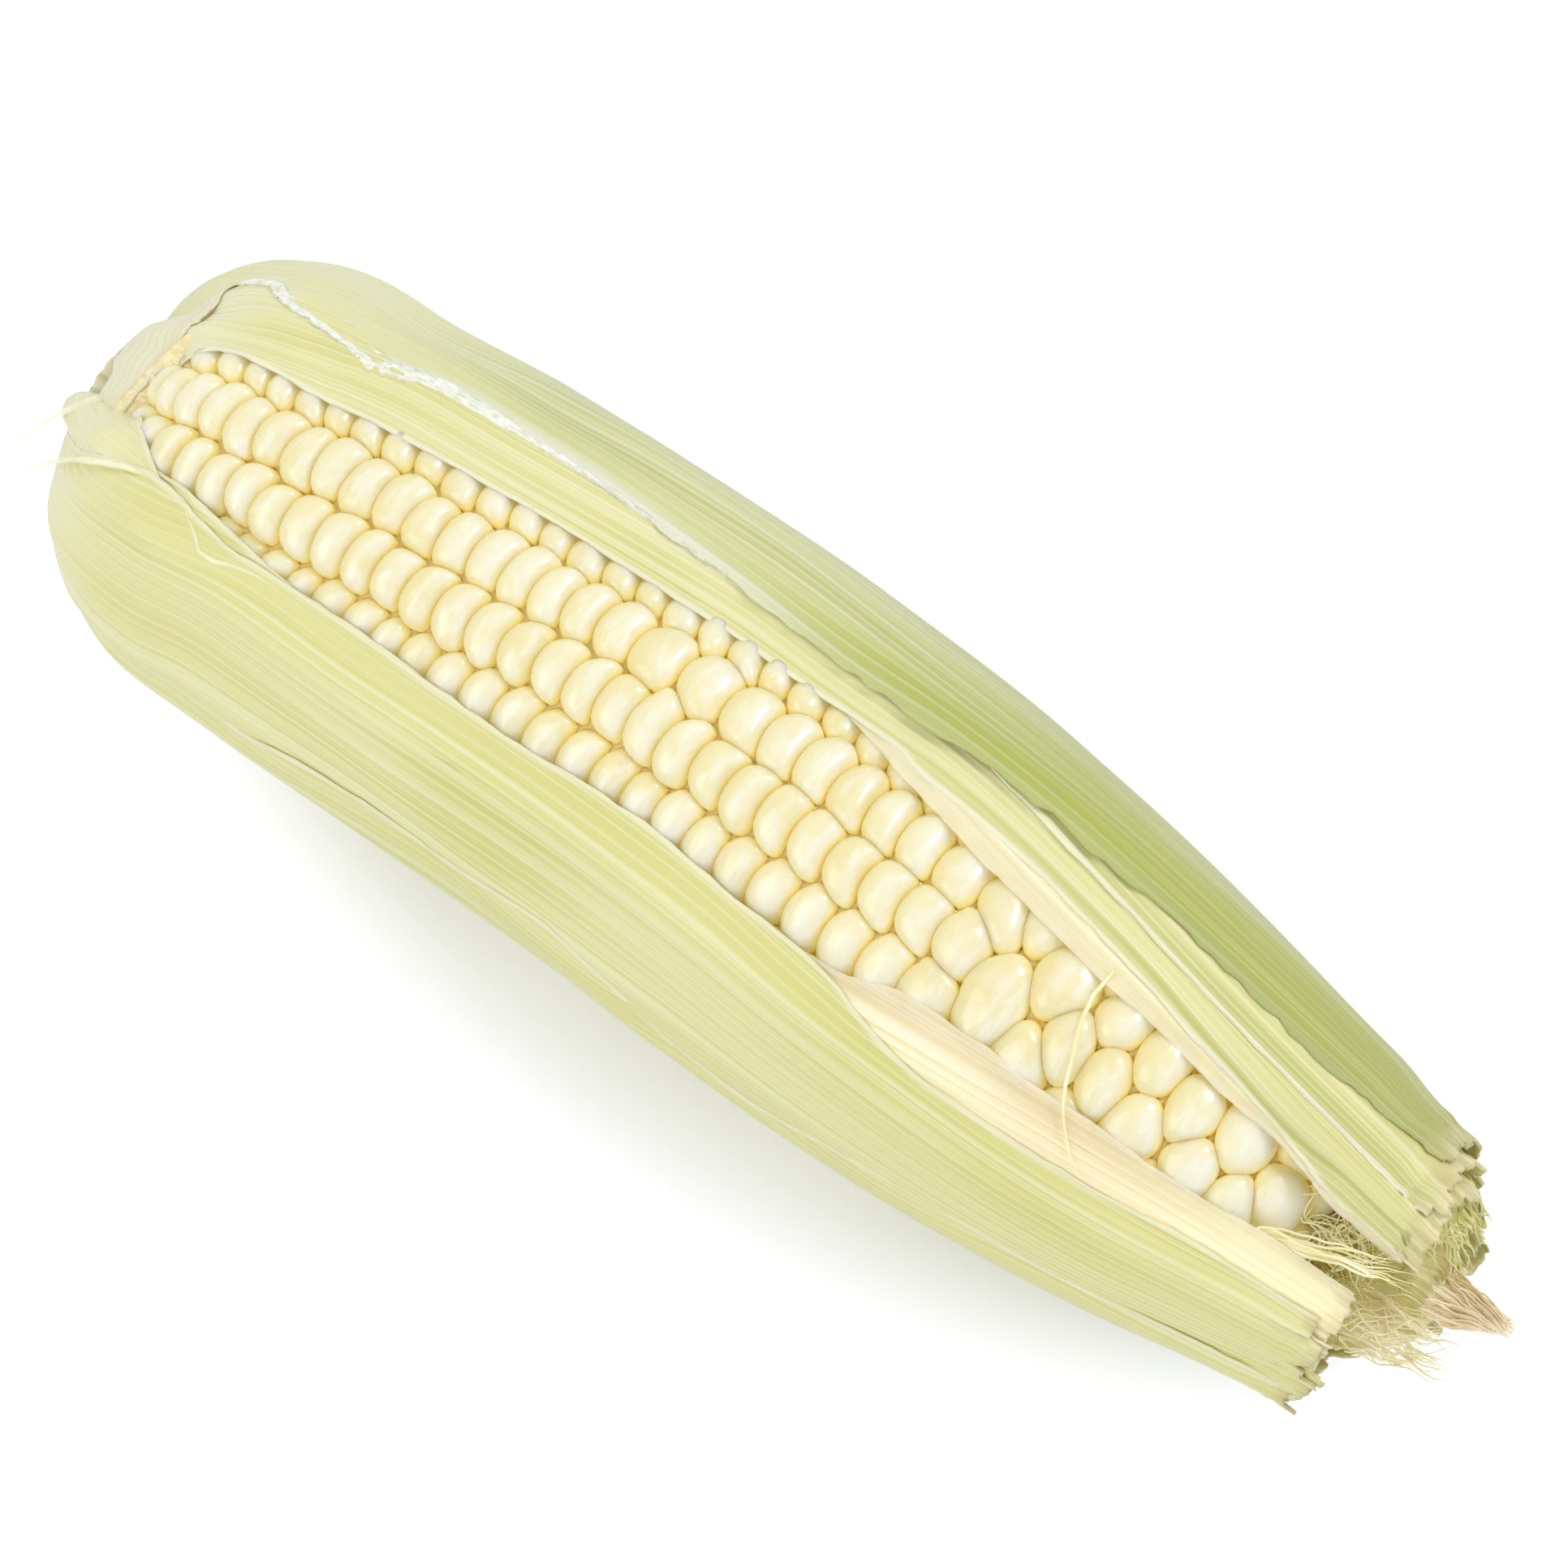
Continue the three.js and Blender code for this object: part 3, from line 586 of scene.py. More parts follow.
def make_stub_skin():
    """Cream stalk with dotted fibre ends on its cut face."""
    material, g = new_material("stub_skin")
    apart = g.drawn_out(0.15, 1.0, 1.0)
    dots = g.add("ShaderNodeTexVoronoi", {"feature": "F1"}, {"Vector": apart, "Scale": 1100})
    cloud = g.noise(apart, 420, 3)
    color = g.mix(cloud.between(0.35, 0.65), srgb(222, 214, 168), srgb(236, 230, 196))
    finish_material(g, {
        "Base Color": g.mix((1 - dots.between(0.1, 0.4)) * 0.5, color, srgb(190, 170, 112)),
        "Roughness": 0.6 + (cloud - 0.5) * 0.2, "Normal": g.bump(dots + cloud, 0.5, 0.0004),
        "Subsurface Weight": 0.15, "Subsurface Radius": (1.0, 0.8, 0.5), "Subsurface Scale": 0.001})
    return material


# Some looks emit a share of their colour: painted light, for leaves that are lit through.
LEAF_LOOKS = {
    "tan": dict(
        base=(250, 239, 190), streak=(252, 244, 206), vein=(253, 249, 226), groove=(230, 210, 158),
        blush=(234, 212, 166), butt=(243, 236, 204), rim=(251, 244, 214), reach=0.4, rim_width=1.0,
        roughness=0.5, dry_reach=3.0, painted_glow=0.09, thin=0.45),
    "pale": dict(
        base=(223, 218, 144), streak=(229, 225, 160), vein=(240, 237, 190), groove=(201, 199, 112),
        blush=(214, 211, 126), butt=(237, 233, 190), rim=(242, 239, 203)),
    "pale_striped": dict(
        base=(219, 215, 146), streak=(227, 223, 162), vein=(240, 237, 196), groove=(196, 195, 110),
        blush=(211, 209, 128), butt=(234, 232, 196), rim=(243, 241, 212), dry_reach=4.5, painted_glow=0.04,
        stripe=(178, 182, 92)),
    "pale_thin": dict(
        base=(226, 220, 146), streak=(232, 226, 162), vein=(242, 238, 192), groove=(206, 200, 114),
        blush=(217, 212, 130), butt=(237, 233, 190), rim=(242, 239, 203), dry_reach=3.0, painted_glow=0.13),
    "cream": dict(
        base=(232, 226, 188), streak=(236, 230, 198), vein=(242, 238, 212), groove=(218, 209, 162),
        blush=(226, 215, 174), butt=(234, 229, 196), rim=(152, 113, 60), reach=0.1, rim_width=0.42,
        roughness=0.5),
    "green": dict(
        base=(203, 206, 134), streak=(212, 214, 150), vein=(232, 233, 198), groove=(172, 178, 96),
        blush=(188, 194, 114), butt=(229, 226, 180), rim=(238, 239, 222), reach=0.6, rim_width=2.0,
        dry_reach=4.0, band=(173, 181, 78), age=(184, 182, 124)),
}
SKINS = {name: make_leaf_skin("leaf_skin_" + name, **look) for name, look in LEAF_LOOKS.items()}
KERNEL_SKIN = make_kernel_skin()
SILK_SKIN = make_silk_skin("silk_pale", (249, 245, 210), (238, 230, 176), 0.1)
# A darker olive copy of the silk for the strands deep in the mouth: painted shade.
SHADED_SILK_SKIN = make_silk_skin("silk_shaded", (214, 200, 118), (180, 166, 78), 0.02)
DRIED_SILK_SKIN = make_silk_skin("silk_dried", (240, 226, 194), (218, 198, 156), 0.1)
FRAYED_SKIN = make_silk_skin("silk_frayed", (247, 241, 214), (230, 220, 172), 0.12)
SHRED_SKIN = make_silk_skin("husk_shred", (234, 230, 178), (206, 202, 132), 0.14)
MEMBRANE_SKIN = make_film_skin("film_membrane", (250, 251, 242), (240, 242, 222), (218, 222, 196),
                               ragged=0.7, reach=0.6, relief=0.6, painted_glow=0.03)
LINING_SKIN = make_film_skin("film_lining", (242, 230, 186), (232, 216, 164), (226, 208, 154),
                             ragged=0.1, reach=1.0, relief=0.6, painted_glow=0.1)
WISP_SKIN = make_film_skin("film_wisp", (250, 249, 224), (247, 246, 214), (242, 240, 204),
                           ragged=0.1, reach=1.0, relief=0.15, painted_glow=0.08)
STUB_SKIN = make_stub_skin()


# Meshes ---------------------------------------------------

def add_object(name, data):
    piece = bpy.data.objects.new(name, data)
    bpy.context.scene.collection.objects.link(piece)
    return piece


def new_piece(name, points, faces, material=None):
    mesh = bpy.data.meshes.new(name)
    mesh.from_pydata([tuple(point) for point in points], [], faces)
    mesh.update()
    mesh.polygons.foreach_set("use_smooth", [True] * len(mesh.polygons))
    if material:
        mesh.materials.append(material)
    return add_object(name, mesh)


def new_sheet(name, first, second, material):
    """A closed sheet between two grids of points."""
    top = np.arange(first[..., 0].size).reshape(first.shape[:2])
    under = top + top.size
    quads = [np.stack([top[:-1, :-1], top[1:, :-1], top[1:, 1:], top[:-1, 1:]], -1).reshape(-1, 4),
             np.stack([under[:-1, :-1], under[:-1, 1:], under[1:, 1:], under[1:, :-1]], -1).reshape(-1, 4),
             np.stack([top[:-1, 0], under[:-1, 0], under[1:, 0], top[1:, 0]], -1),
             np.stack([top[:-1, -1], top[1:, -1], under[1:, -1], under[:-1, -1]], -1),
             np.stack([top[0, :-1], top[0, 1:], under[0, 1:], under[0, :-1]], -1),
             np.stack([top[-1, :-1], under[-1, :-1], under[-1, 1:], top[-1, 1:]], -1)]
    points = np.vstack([first.reshape(-1, 3), second.reshape(-1, 3)])
    return new_piece(name, points, np.vstack(quads).tolist(), material)


def next_in(loop):
    """Each item of a closed loop with the one after it."""
    return zip(loop, loop[1:] + loop[:1])


def bridge(one, other):
    """Faces between two closed loops of points."""
    return [(a, b, d, c) for (a, b), (c, d) in zip(next_in(one), next_in(other))]


def give_attribute(piece, name, values, kind="FLOAT", domain="POINT"):
    layer = piece.data.attributes.new(name, kind, domain)
    flat = np.asarray(values, np.float32).ravel()
    layer.data.foreach_set("vector" if kind == "FLOAT_VECTOR" else "value", flat)


def give_both_sides(piece, name, values):
    """An attribute of a sheet, the same on its two sides."""
    give_attribute(piece, name, np.tile(np.ravel(values), 2))


def give_map(piece, name, per_point):
    """UV map from one pair of values per point."""
    layer = piece.data.uv_layers.new(name=name)
    corners = np.empty(len(piece.data.loops), np.int32)
    piece.data.loops.foreach_get("vertex_index", corners)
    layer.data.foreach_set("uv", np.asarray(per_point, np.float32)[corners].ravel())


def bake_nodes(piece, tree, settings):
    """Runs a node tree on a piece, and keeps the result as its plain mesh."""
    modifier = piece.modifiers.new(tree.name, "NODES")
    modifier.node_group = tree
    for item in tree.interface.items_tree:
        if item.item_type == "SOCKET" and item.in_out == "INPUT" and item.name in settings:
            modifier[item.identifier] = settings[item.name]
    evaluated = piece.evaluated_get(bpy.context.evaluated_depsgraph_get())
    mesh = bpy.data.meshes.new_from_object(evaluated)
    piece.modifiers.remove(modifier)
    old = piece.data
    piece.data = mesh
    bpy.data.meshes.remove(old)
    piece.data.name = piece.name


def node_tree(name, sizes):
    """A geometry tree with a mesh input and named number inputs."""
    tree = bpy.data.node_groups.new(name, "GeometryNodeTree")
    tree.interface.new_socket("Geometry", in_out="INPUT", socket_type="NodeSocketGeometry")
    for size, default in sizes.items():
        socket = tree.interface.new_socket(size, in_out="INPUT", socket_type="NodeSocketFloat")
        socket.default_value = default
    tree.interface.new_socket("Geometry", in_out="OUTPUT", socket_type="NodeSocketGeometry")
    graph = Graph(tree)
    group = tree.nodes.new("NodeGroupInput")
    return tree, graph, {out.name: Value(graph, out) for out in group.outputs if out.name}


def end_tree(graph, geometry, material):
    """Realize Instances, Set Material and the output."""
    real = graph.add("GeometryNodeRealizeInstances", {}, {0: geometry})
    done = graph.add("GeometryNodeSetMaterial", {}, {"Geometry": real, "Material": material})
    graph.add("NodeGroupOutput", {}, {0: done})


# Kernels --------------------------------------------------
# They are laid out in the plane of the unrolled ear. Along it runs the unrolled distance, which
# is distance over radius, and across it the angle in radians, so that shapes keep their look.

RUN = np.linspace(0, creases.length, 3001)
UNROLLED = np.concatenate([[0], np.cumsum(np.diff(RUN) / creases.at((RUN[1:] + RUN[:-1]) / 2)[1])])


def unroll(distance):
    return np.interp(distance, RUN, UNROLLED)


def roll_up(unrolled):
    return np.interp(unrolled, UNROLLED, RUN)


def turned(angle):
    """The angle in radians, between minus and plus half a turn."""
    return (angle + math.pi) % (2 * math.pi) - math.pi


# Rows beside the upper leaf that are squeezed together, by how many degrees, and the kernels
# near the tip, by position along the ear and angle.
SQUEEZED_ROW = {2: 1.5, 3: -1.5}
TIP_KERNELS = [(47.9, -15.3), (50.2, 1.1), (54, 19.4), (55.8, 0.4), (59.5, 15.9), (61.2, -7.5),
               (66, 11.5), (68.6, -11.1), (71.3, 17), (74.8, -24), (77.7, 1)]
LOOSE_FROM = unroll(creases.distance_to(ROWS_END - 9))
SETTLING_ROUNDS = 6
OUTLINE_STEP = 0.95
FRONT_HALF = 72  # kernels within this angle are drawn finer
INSET = 0.99  # share of its cell that a kernel's rings keep to
FILL = 0.6  # how far a rounded outline grows back to the size of its cell


def row_seeds(row):
    """Middles of the kernels in a row. The first is only a neighbour to the second."""
    seeds = []
    distance = creases.distance_to(FIRST_KERNEL) + 1.2 * scatter(row, 3)
    rows_end = creases.distance_to(ROWS_END + 2 * scatter(row, 9))
    while distance < rows_end:
        x = creases.at(distance)[0]
        i = len(seeds)
        squeezed = SQUEEZED_ROW.get(row, 0) * ease(-88, -80, x) * (1 - ease(8, 20, x))
        angle = row * 2 * math.pi / KERNEL_ROWS + math.radians(curve(ROW_TURN, x) + squeezed)
        seeds.append([unroll(distance), angle + 0.025 * scatter(row, i), i > 0])
        plump = 1.4 if row == 1 and -21 < x < -4 else 1
        distance += curve(KERNEL_SPACING, x) * plump * (1 + 0.10 * scatter(i, row + 40))
    return seeds


def tip_seeds():
    """Middles of the kernels in rings from the end of the rows to the tip."""
    seeds = []
    last = creases.length - 5.0
    distance = creases.distance_to(ROWS_END) + 0.9 * TIP_KERNEL
    for ring in range(20):
        within = distance < last
        r = creases.at(min(distance, last))[1]
        count = max(round(2 * math.pi * r / TIP_KERNEL), 4)
        for j in range(count):
            turn = j + 0.5 * (ring % 2) + 0.16 * scatter(ring, j + 7)
            at = min(distance + 0.8 * scatter(j, ring + 3) * within, creases.length - 0.6)
            seeds.append([unroll(at), turn * 2 * math.pi / count, within])
        if not within:
            break
        distance += 0.86 * TIP_KERNEL
    return seeds


def kernel_seeds():
    """Middles of the kernels, as unrolled distance and angle, and whether each is a kernel:
    those that may move apart, and those that stay near their places."""
    seeds = [seed for row in range(KERNEL_ROWS) for seed in row_seeds(row)] + tip_seeds()
    fixed = []
    for x, phi in TIP_KERNELS:
        at = creases.distance_to(x)
        spot = [unroll(at), math.radians(phi), True]
        reach = (0.7 if x < 76 else 1.2) * TIP_KERNEL / creases.at(at)[1]
        seeds = [seed for seed in seeds
                 if not seed[2] or math.hypot(seed[0] - spot[0], turned(seed[1] - spot[1])) > reach]
        fixed.append(spot)
    return seeds, fixed


def cut_between(polygon, a, b):
    """Part of a convex polygon that is nearer to a than to b."""
    across = b - a
    limit = (b @ b - a @ a) / 2
    side = [point @ across - limit for point in polygon]
    kept = []
    for i, point in enumerate(polygon):
        j = (i + 1) % len(polygon)
        if side[i] <= 0:
            kept.append(point)
        if side[i] * side[j] < 0:
            kept.append(point + side[i] / (side[i] - side[j]) * (polygon[j] - point))
    return kept


def kernel_cells(seeds):
    """The polygon of points nearest to each seed, in the unrolled plane."""
    middles = np.array([[q, angle * ROW_GRIP] for q, angle, _ in seeds])
    turn = 2 * math.pi * ROW_GRIP
    around = np.vstack([middles - [0, turn], middles, middles + [0, turn]])
    reach = 0.75
    cells = []
    for middle, (_, _, real) in zip(middles, seeds):
        if not real:
            cells.append(None)
            continue
        polygon = [middle + reach * np.array(corner) for corner in ((-1, -1), (1, -1), (1, 1), (-1, 1))]
        gap = np.linalg.norm(around - middle, axis=1)
        for k in np.argsort(gap)[1:60]:
            if gap[k] > 2 * max(np.linalg.norm(point - middle) for point in polygon):
                break
            polygon = cut_between(polygon, middle, around[k])
        cells.append([point / [1, ROW_GRIP] for point in polygon])
    return cells


def settled_kernels():
    """Seeds and cells of the kernels, with the loose ones near the tip moved apart."""
    free, fixed = kernel_seeds()
    seeds = free + fixed
    cells = kernel_cells(seeds)
    for _ in range(SETTLING_ROUNDS):
        for seed, cell in zip(seeds, cells):
            if seed[2] and seed[0] > LOOSE_FROM:
                middle = np.mean(cell, axis=0)
                pull = 0.12 if seed in fixed else 0.6
                seed[0] += pull * (middle[0] - seed[0])
                seed[1] += pull * (middle[1] - seed[1])
        cells = kernel_cells(seeds)
    return seeds, cells


def rounded(outline, times):
    """The outline of a cell with its corners rounded, more with each time."""
    for _ in range(times):
        outline = (np.roll(outline, 1, axis=0) + 2 * outline + np.roll(outline, -1, axis=0)) / 4
    return outline


def side_points(a, b):
    """Corner a and the points between it and corner b, the same from either side."""
    radius = creases.spot(roll_up((a[0] + b[0]) / 2))[1]
    count = max(round(np.linalg.norm(b - a) * radius / OUTLINE_STEP), 1)
    return [a + (b - a) * k / count for k in range(count)]


# Rings of points on a kernel, as share of its outline and how often that outline is rounded.
FRONT_RINGS = ((1.0, 2), (0.985, 3), (0.955, 4), (0.90, 5), (0.81, 6), (0.68, 7), (0.48, 8),
               (0.22, 9))
BACK_RINGS = ((1.0, 1), (0.88, 2), (0.5, 6))


def draw_kernels(seeds, cells):
    """The kernels in the unrolled plane: points, as unrolled distance, angle, share of the
    outline, size of the kernel and side; the faces between them; and the tone of each face."""
    points, faces, tone, known = [], [], [], {}

    def corner(q, angle):
        """Number of a point on an outline, which neighbouring kernels share."""
        turn = angle % (2 * math.pi)
        key = round(q * 1e5), round(turn * 1e5) % round(2e5 * math.pi)
        if key not in known:
            known[key] = len(points)
            points.append((q, turn, 1.0, 1.0, 0.0))
        return known[key]

    for number, (cell, (seed_at, seed_angle, real)) in enumerate(zip(cells, seeds)):
        if not real:
            continue
        outline = np.array([p for a, b in next_in(cell) for p in side_points(a, b)])
        middle = outline.mean(axis=0)
        half = np.abs(outline - middle).max(axis=0)
        slim = half.min() / half
        side = (outline[:, 0] - middle[0]) / half[0]
        size = 1 + 0.08 * scatter(number, 5)
        loops = [[corner(*point) for point in outline]]
        front = abs((math.degrees(seed_angle) + 180) % 360 - 180) < FRONT_HALF
        for ring, times in FRONT_RINGS if front else BACK_RINGS:
            shape = rounded(outline, 2 * times if seed_at > LOOSE_FROM else times) - middle
            shape *= 1 + FILL * (half / np.abs(shape).max(axis=0) - 1)
            share = 1 - (1 - ring) * slim - (1 - slim) * (1 - ring) ** 3
            loops.append([len(points) + i for i in range(len(outline))])
            points += [(*spot, ring, size, lean * ring)
                       for spot, lean in zip(middle + INSET * shape * share, side)]
        crown = len(points)
        points.append((*middle, 0.0, size, 0.0))
        for outer, inner in zip(loops[:-1], loops[1:]):
            faces += bridge(outer, inner)
        faces += [(a, b, crown) for a, b in next_in(loops[-1])]
        tone += [0.5 + 0.5 * scatter(number, 21)] * (len(faces) - len(tone))
    return np.array(points), faces, tone


def end_faces(flat, faces):
    """Faces that close the two ends of the cob, each to a point of its own after the others."""
    edges = {edge: True for face in faces for edge in next_in(face)}
    butt, tip = len(flat), len(flat) + 1
    return [(b, a, butt if flat[a][0] < UNROLLED[-1] / 2 else tip)
            for a, b in edges if (b, a) not in edges]


def bow_rows(flat):
    """Turns the sides between the kernels of a row into bows."""
    x, r, _, _ = creases.at(roll_up(flat[:, 0]))
    row = (np.degrees(flat[:, 1]) - curve(ROW_TURN, x)) * KERNEL_ROWS / 360
    off = 2 * (row - np.round(row))
    bow = curve(ROW_BOW, x) * (1 + 0.3 * noise(x / 11, np.round(row) % KERNEL_ROWS, 71))
    flat[:, 0] -= bow * (1 - off ** 2) / np.maximum(r, 6)


def kernel_growth():
    """Node tree that raises the kernels along their out attribute."""
    tree, g, given = node_tree("kernel_growth", {"Depth": 0.0025, "Shoulder": 2.4, "Unevenness": 0.1})
    rho, size, way = (g.add("GeometryNodeInputNamedAttribute", {"data_type": kind}, {"Name": name})
                      for name, kind in (("rho", "FLOAT"), ("size", "FLOAT"), ("out", "FLOAT_VECTOR")))
    rise = (1 - rho ** given["Shoulder"]).at_least(0.0) ** (1.0 / given["Shoulder"])
    lumps = g.noise(g.add("GeometryNodeInputPosition", {}, {}), 320.0)
    grown = rise * size * given["Depth"] * (1 + (lumps - 0.5) * given["Unevenness"])
    offset = g.add("ShaderNodeVectorMath", {"operation": "SCALE"}, {0: way, "Scale": grown})
    kept = g.add("GeometryNodeStoreNamedAttribute", {"data_type": "FLOAT", "domain": "POINT"},
                 {"Geometry": given["Geometry"], "Name": "rise", "Value": rise})
    moved = g.add("GeometryNodeSetPosition", {}, {"Geometry": kept, "Offset": offset})
    end_tree(g, moved, KERNEL_SKIN)
    return tree


def make_kernels():
    points, faces, tone = draw_kernels(*settled_kernels())
    flat = points[:, :2]
    closing = end_faces(flat, faces)
    bow_rows(flat)
    x, r, nx, nr = creases.at(roll_up(flat[:, 0]))
    phi = np.degrees(flat[:, 1])
    sink = KERNEL_DEPTH / 2
    depth = outermost(x, phi) + np.maximum(lining.radius(x) - r, 0)
    floor = place(x - nx * sink, r - nr * sink, phi, depth + sink)
    above = place(x + nx * (1 - sink) - LEAN * nr, r + nr * (1 - sink) + LEAN * nx, phi, depth + sink)
    ends = place([CREASES[0][0] + 1.0, CREASES[-1][0] + 0.6], 0.0, 0.0)
    piece = new_piece("kernels", np.vstack([floor, ends]), faces + closing)
    for name, values, end_value in zip(("rho", "size", "side"), points[:, 2:].T, (1.0, 1.0, 0.0)):
        give_attribute(piece, name, [*values, end_value, end_value])
    give_attribute(piece, "out", np.vstack([(above - floor) / MM, np.zeros((2, 3))]), "FLOAT_VECTOR")
    give_attribute(piece, "tone", tone + [0.5] * len(closing), domain="FACE")
    bake_nodes(piece, kernel_growth(), {"Depth": KERNEL_DEPTH * MM})
    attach(piece, "root")
    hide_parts("cob")
    return piece


# Leaves ---------------------------------------------------

def butt_collar(distance, phi):
    """How far the leaf bases stand out where they meet the stub, on the open side."""
    return 3.4 * (1 - ease(0, 1, distance / 10)) * ease(-52, -22, phi) * (1 - ease(38, 54, phi))


def gathered(leaf, x, phi):
    """How far the cut end of an inner leaf has fallen in on the upper and back side."""
    turn = phi % 360
    around = ease(52, 84, turn) * (1 - ease(165, 200, turn))
    folds = 1 + 0.35 * noise(x / 2.2, turn / 16, 131)
    return leaf.gather * folds * around * ease(83, 94, x)


def smooth_edge(knots, x):
    """The edge without its small bends, which the veins run beside."""
    return np.mean([curve(knots, x + step) for step in range(-24, 25, 6)], axis=0)


def tear(strip, index):
    """How far each spot of a cut end stands out, by its place across the leaf: strips that tore
    along the veins, with smaller ones between them."""
    drift = 0.5 * noise(strip / 2.1, index, 33)
    wide = scatter(np.floor(strip / WIDE_STRIP + drift), index, 3)
    narrow = scatter(np.floor(strip / 1.15 + drift), index, 5)
    return 1.0 * wide + 0.55 * narrow + 0.25 * scatter(np.floor(strip / 0.5), index, 7)


def turned_in(x, gap):
    """How far the free edge of an outer leaf bends in, more so near the butt."""
    butt_side = 1 - ease(-72, -50, x)
    return (0.55 + 0.75 * butt_side) * (1 - ease(0, 3.6 + 2 * butt_side, gap))


WIDE_STRIP = 3.4
TORN_END = 13  # how far from its cut end the tears of a leaf reach
FINE_BUTT, FINE_END = 32, 14  # stretches with closer rows of points
COLUMN = 1.15  # degrees between points across a leaf
EDGE_HALF, BODY_HALF = 0.12, 0.25  # half the thickness of a leaf
UNDRIED = 99  # far enough from a cut end to show no drying


def leaf_rows(leaf, end):
    """Distances of the rows of points, closer together at the butt and at the cut end."""
    if not leaf.long:
        return np.linspace(0, end, 30)
    return np.concatenate([np.arange(0, FINE_BUTT, 1.0), np.arange(FINE_BUTT, end - FINE_END, 2.0),
                           np.linspace(end - FINE_END, end, 24)])


def leaf_shares(leaf, rows):
    """Shares of the width at the columns of points, closer together at both edges."""
    x = lining.at(rows)[0]
    widest = np.max(curve(leaf.high, x) - curve(leaf.low, x))
    share = np.linspace(0, 1, int(widest / COLUMN) + 2)
    return share - 0.06 * np.sin(2 * math.pi * share) / math.pi


def cut_end(index, leaf, share):
    """Place across the leaf of each column, and how far it stands out at the cut end."""
    low, high = curve(leaf.low, leaf.end), curve(leaf.high, leaf.end)
    phi = low + (high - low) * share
    strip = phi * 0.27
    if leaf.name == "leaf_butt_cap":
        return strip, 0.4 * tear(strip, index) - curve(CAP_TRIM, phi)
    if not leaf.long:
        return strip, 0.4 * tear(strip, index)
    return strip, tear(strip, index) - curve(END_TRIM, phi % 360)


def frayed_edges(index, leaf, x, share):
    """Angles across the leaf, and distances from its low and its high edge."""
    low, high = curve(leaf.low, x), curve(leaf.high, x)
    frays = [0.6 * noise(x / 8, index, seed) + 0.7 * noise(x / 1.9, index, seed + 1)
             + 0.5 * noise(x / 0.8, index, seed + 2) for seed in (41, 51)]
    phi = low + leaf.torn * frays[0] + (high - low + leaf.torn * (frays[1] - frays[0])) * share
    return phi, (phi - low) * DEGREE, (high - phi) * DEGREE


def make_leaf(index, leaf):
    cap = leaf.name == "leaf_butt_cap"
    end = lining.distance_to(leaf.end)
    rows = leaf_rows(leaf, end)
    share = leaf_shares(leaf, rows)
    strip, uneven = cut_end(index, leaf, share)
    distance = rows[:, None] + ease(end - TORN_END, end, rows)[:, None] * uneven
    x = lining.at(distance)[0]
    phi, low_gap, high_gap = frayed_edges(index, leaf, x, share)
    from_edge = np.minimum(low_gap, high_gap)
    if cap:
        from_edge = np.minimum(from_edge, end - distance)
    vein_turn = 0
    if leaf.follow:
        edge = smooth_edge(getattr(leaf, leaf.follow), x)
        vein_turn = (edge - edge[0, 0]) * (1 - ease(0, 75, np.abs(phi - edge)))
    across = (phi - vein_turn) * DEGREE
    pleats = (0.16 * noise(across / 4.2, distance / 50, index)
              + 0.07 * noise(across / 1.5, distance / 35, index + 50)
              + 0.035 * noise(across / 0.7, distance / 25, index + 70))
    near_end = ease(end - 9, end, distance) * leaf.long
    curl = 0.45 * scatter(np.floor(strip / WIDE_STRIP), index, 9) * near_end
    crepe = leaf.crumple * noise(distance / 0.95, across / 2.6, index + 90) * near_end
    settled = ease(0, 9, leaf.inside(x, phi)) if leaf.hugs else 1
    away = lie(index, x, phi) + swell(x, phi) * settled + pleats * ease(0, 10, distance)
    away = away + curl + crepe - gathered(leaf, x, phi)
    if not leaf.hugs:
        away = away - turned_in(x, from_edge)
    if leaf.collar:
        away = away + butt_collar(distance, phi)
    if leaf.name == "leaf_butt_flap":
        bare = ease(-2, 9, phi - curve(LOWER_MAIN.high, x))
        away = away + 1.7 * bare * ease(-80, -87, x) * ease(0, 3.5, from_edge)
    half = EDGE_HALF + (BODY_HALF - EDGE_HALF) * ease(0, 3, from_edge)
    piece = new_sheet(leaf.name + "_skin", husk_point(distance, phi, away + half),
                      husk_point(distance, phi, away - half), SKINS[leaf.skin])
    pairs = np.stack([across.ravel() / 100, distance.ravel() / 100], -1)
    if cap:
        pairs = np.stack([distance.ravel() / 100, phi.ravel() / 250], -1)
        from_edge = end - distance + 0 * phi
    rim = {"green": 0.25}.get(leaf.skin, 1) + 0 * phi
    if leaf.name == "leaf_upper_outer":
        rim = 0.15 + 0.85 * ease(-86, -80, x) * (1 - ease(-24, 4, x))
    give_map(piece, "leaf", np.vstack([pairs, pairs]))
    give_both_sides(piece, "edge", {"low": low_gap, "high": high_gap}.get(leaf.follow, from_edge))
    give_both_sides(piece, "rim", rim)
    give_both_sides(piece, "tip", (end - rows)[:, None] + 0 * phi + UNDRIED * (not leaf.long))
    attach(piece, "root")
    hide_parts(leaf.name)
    return piece


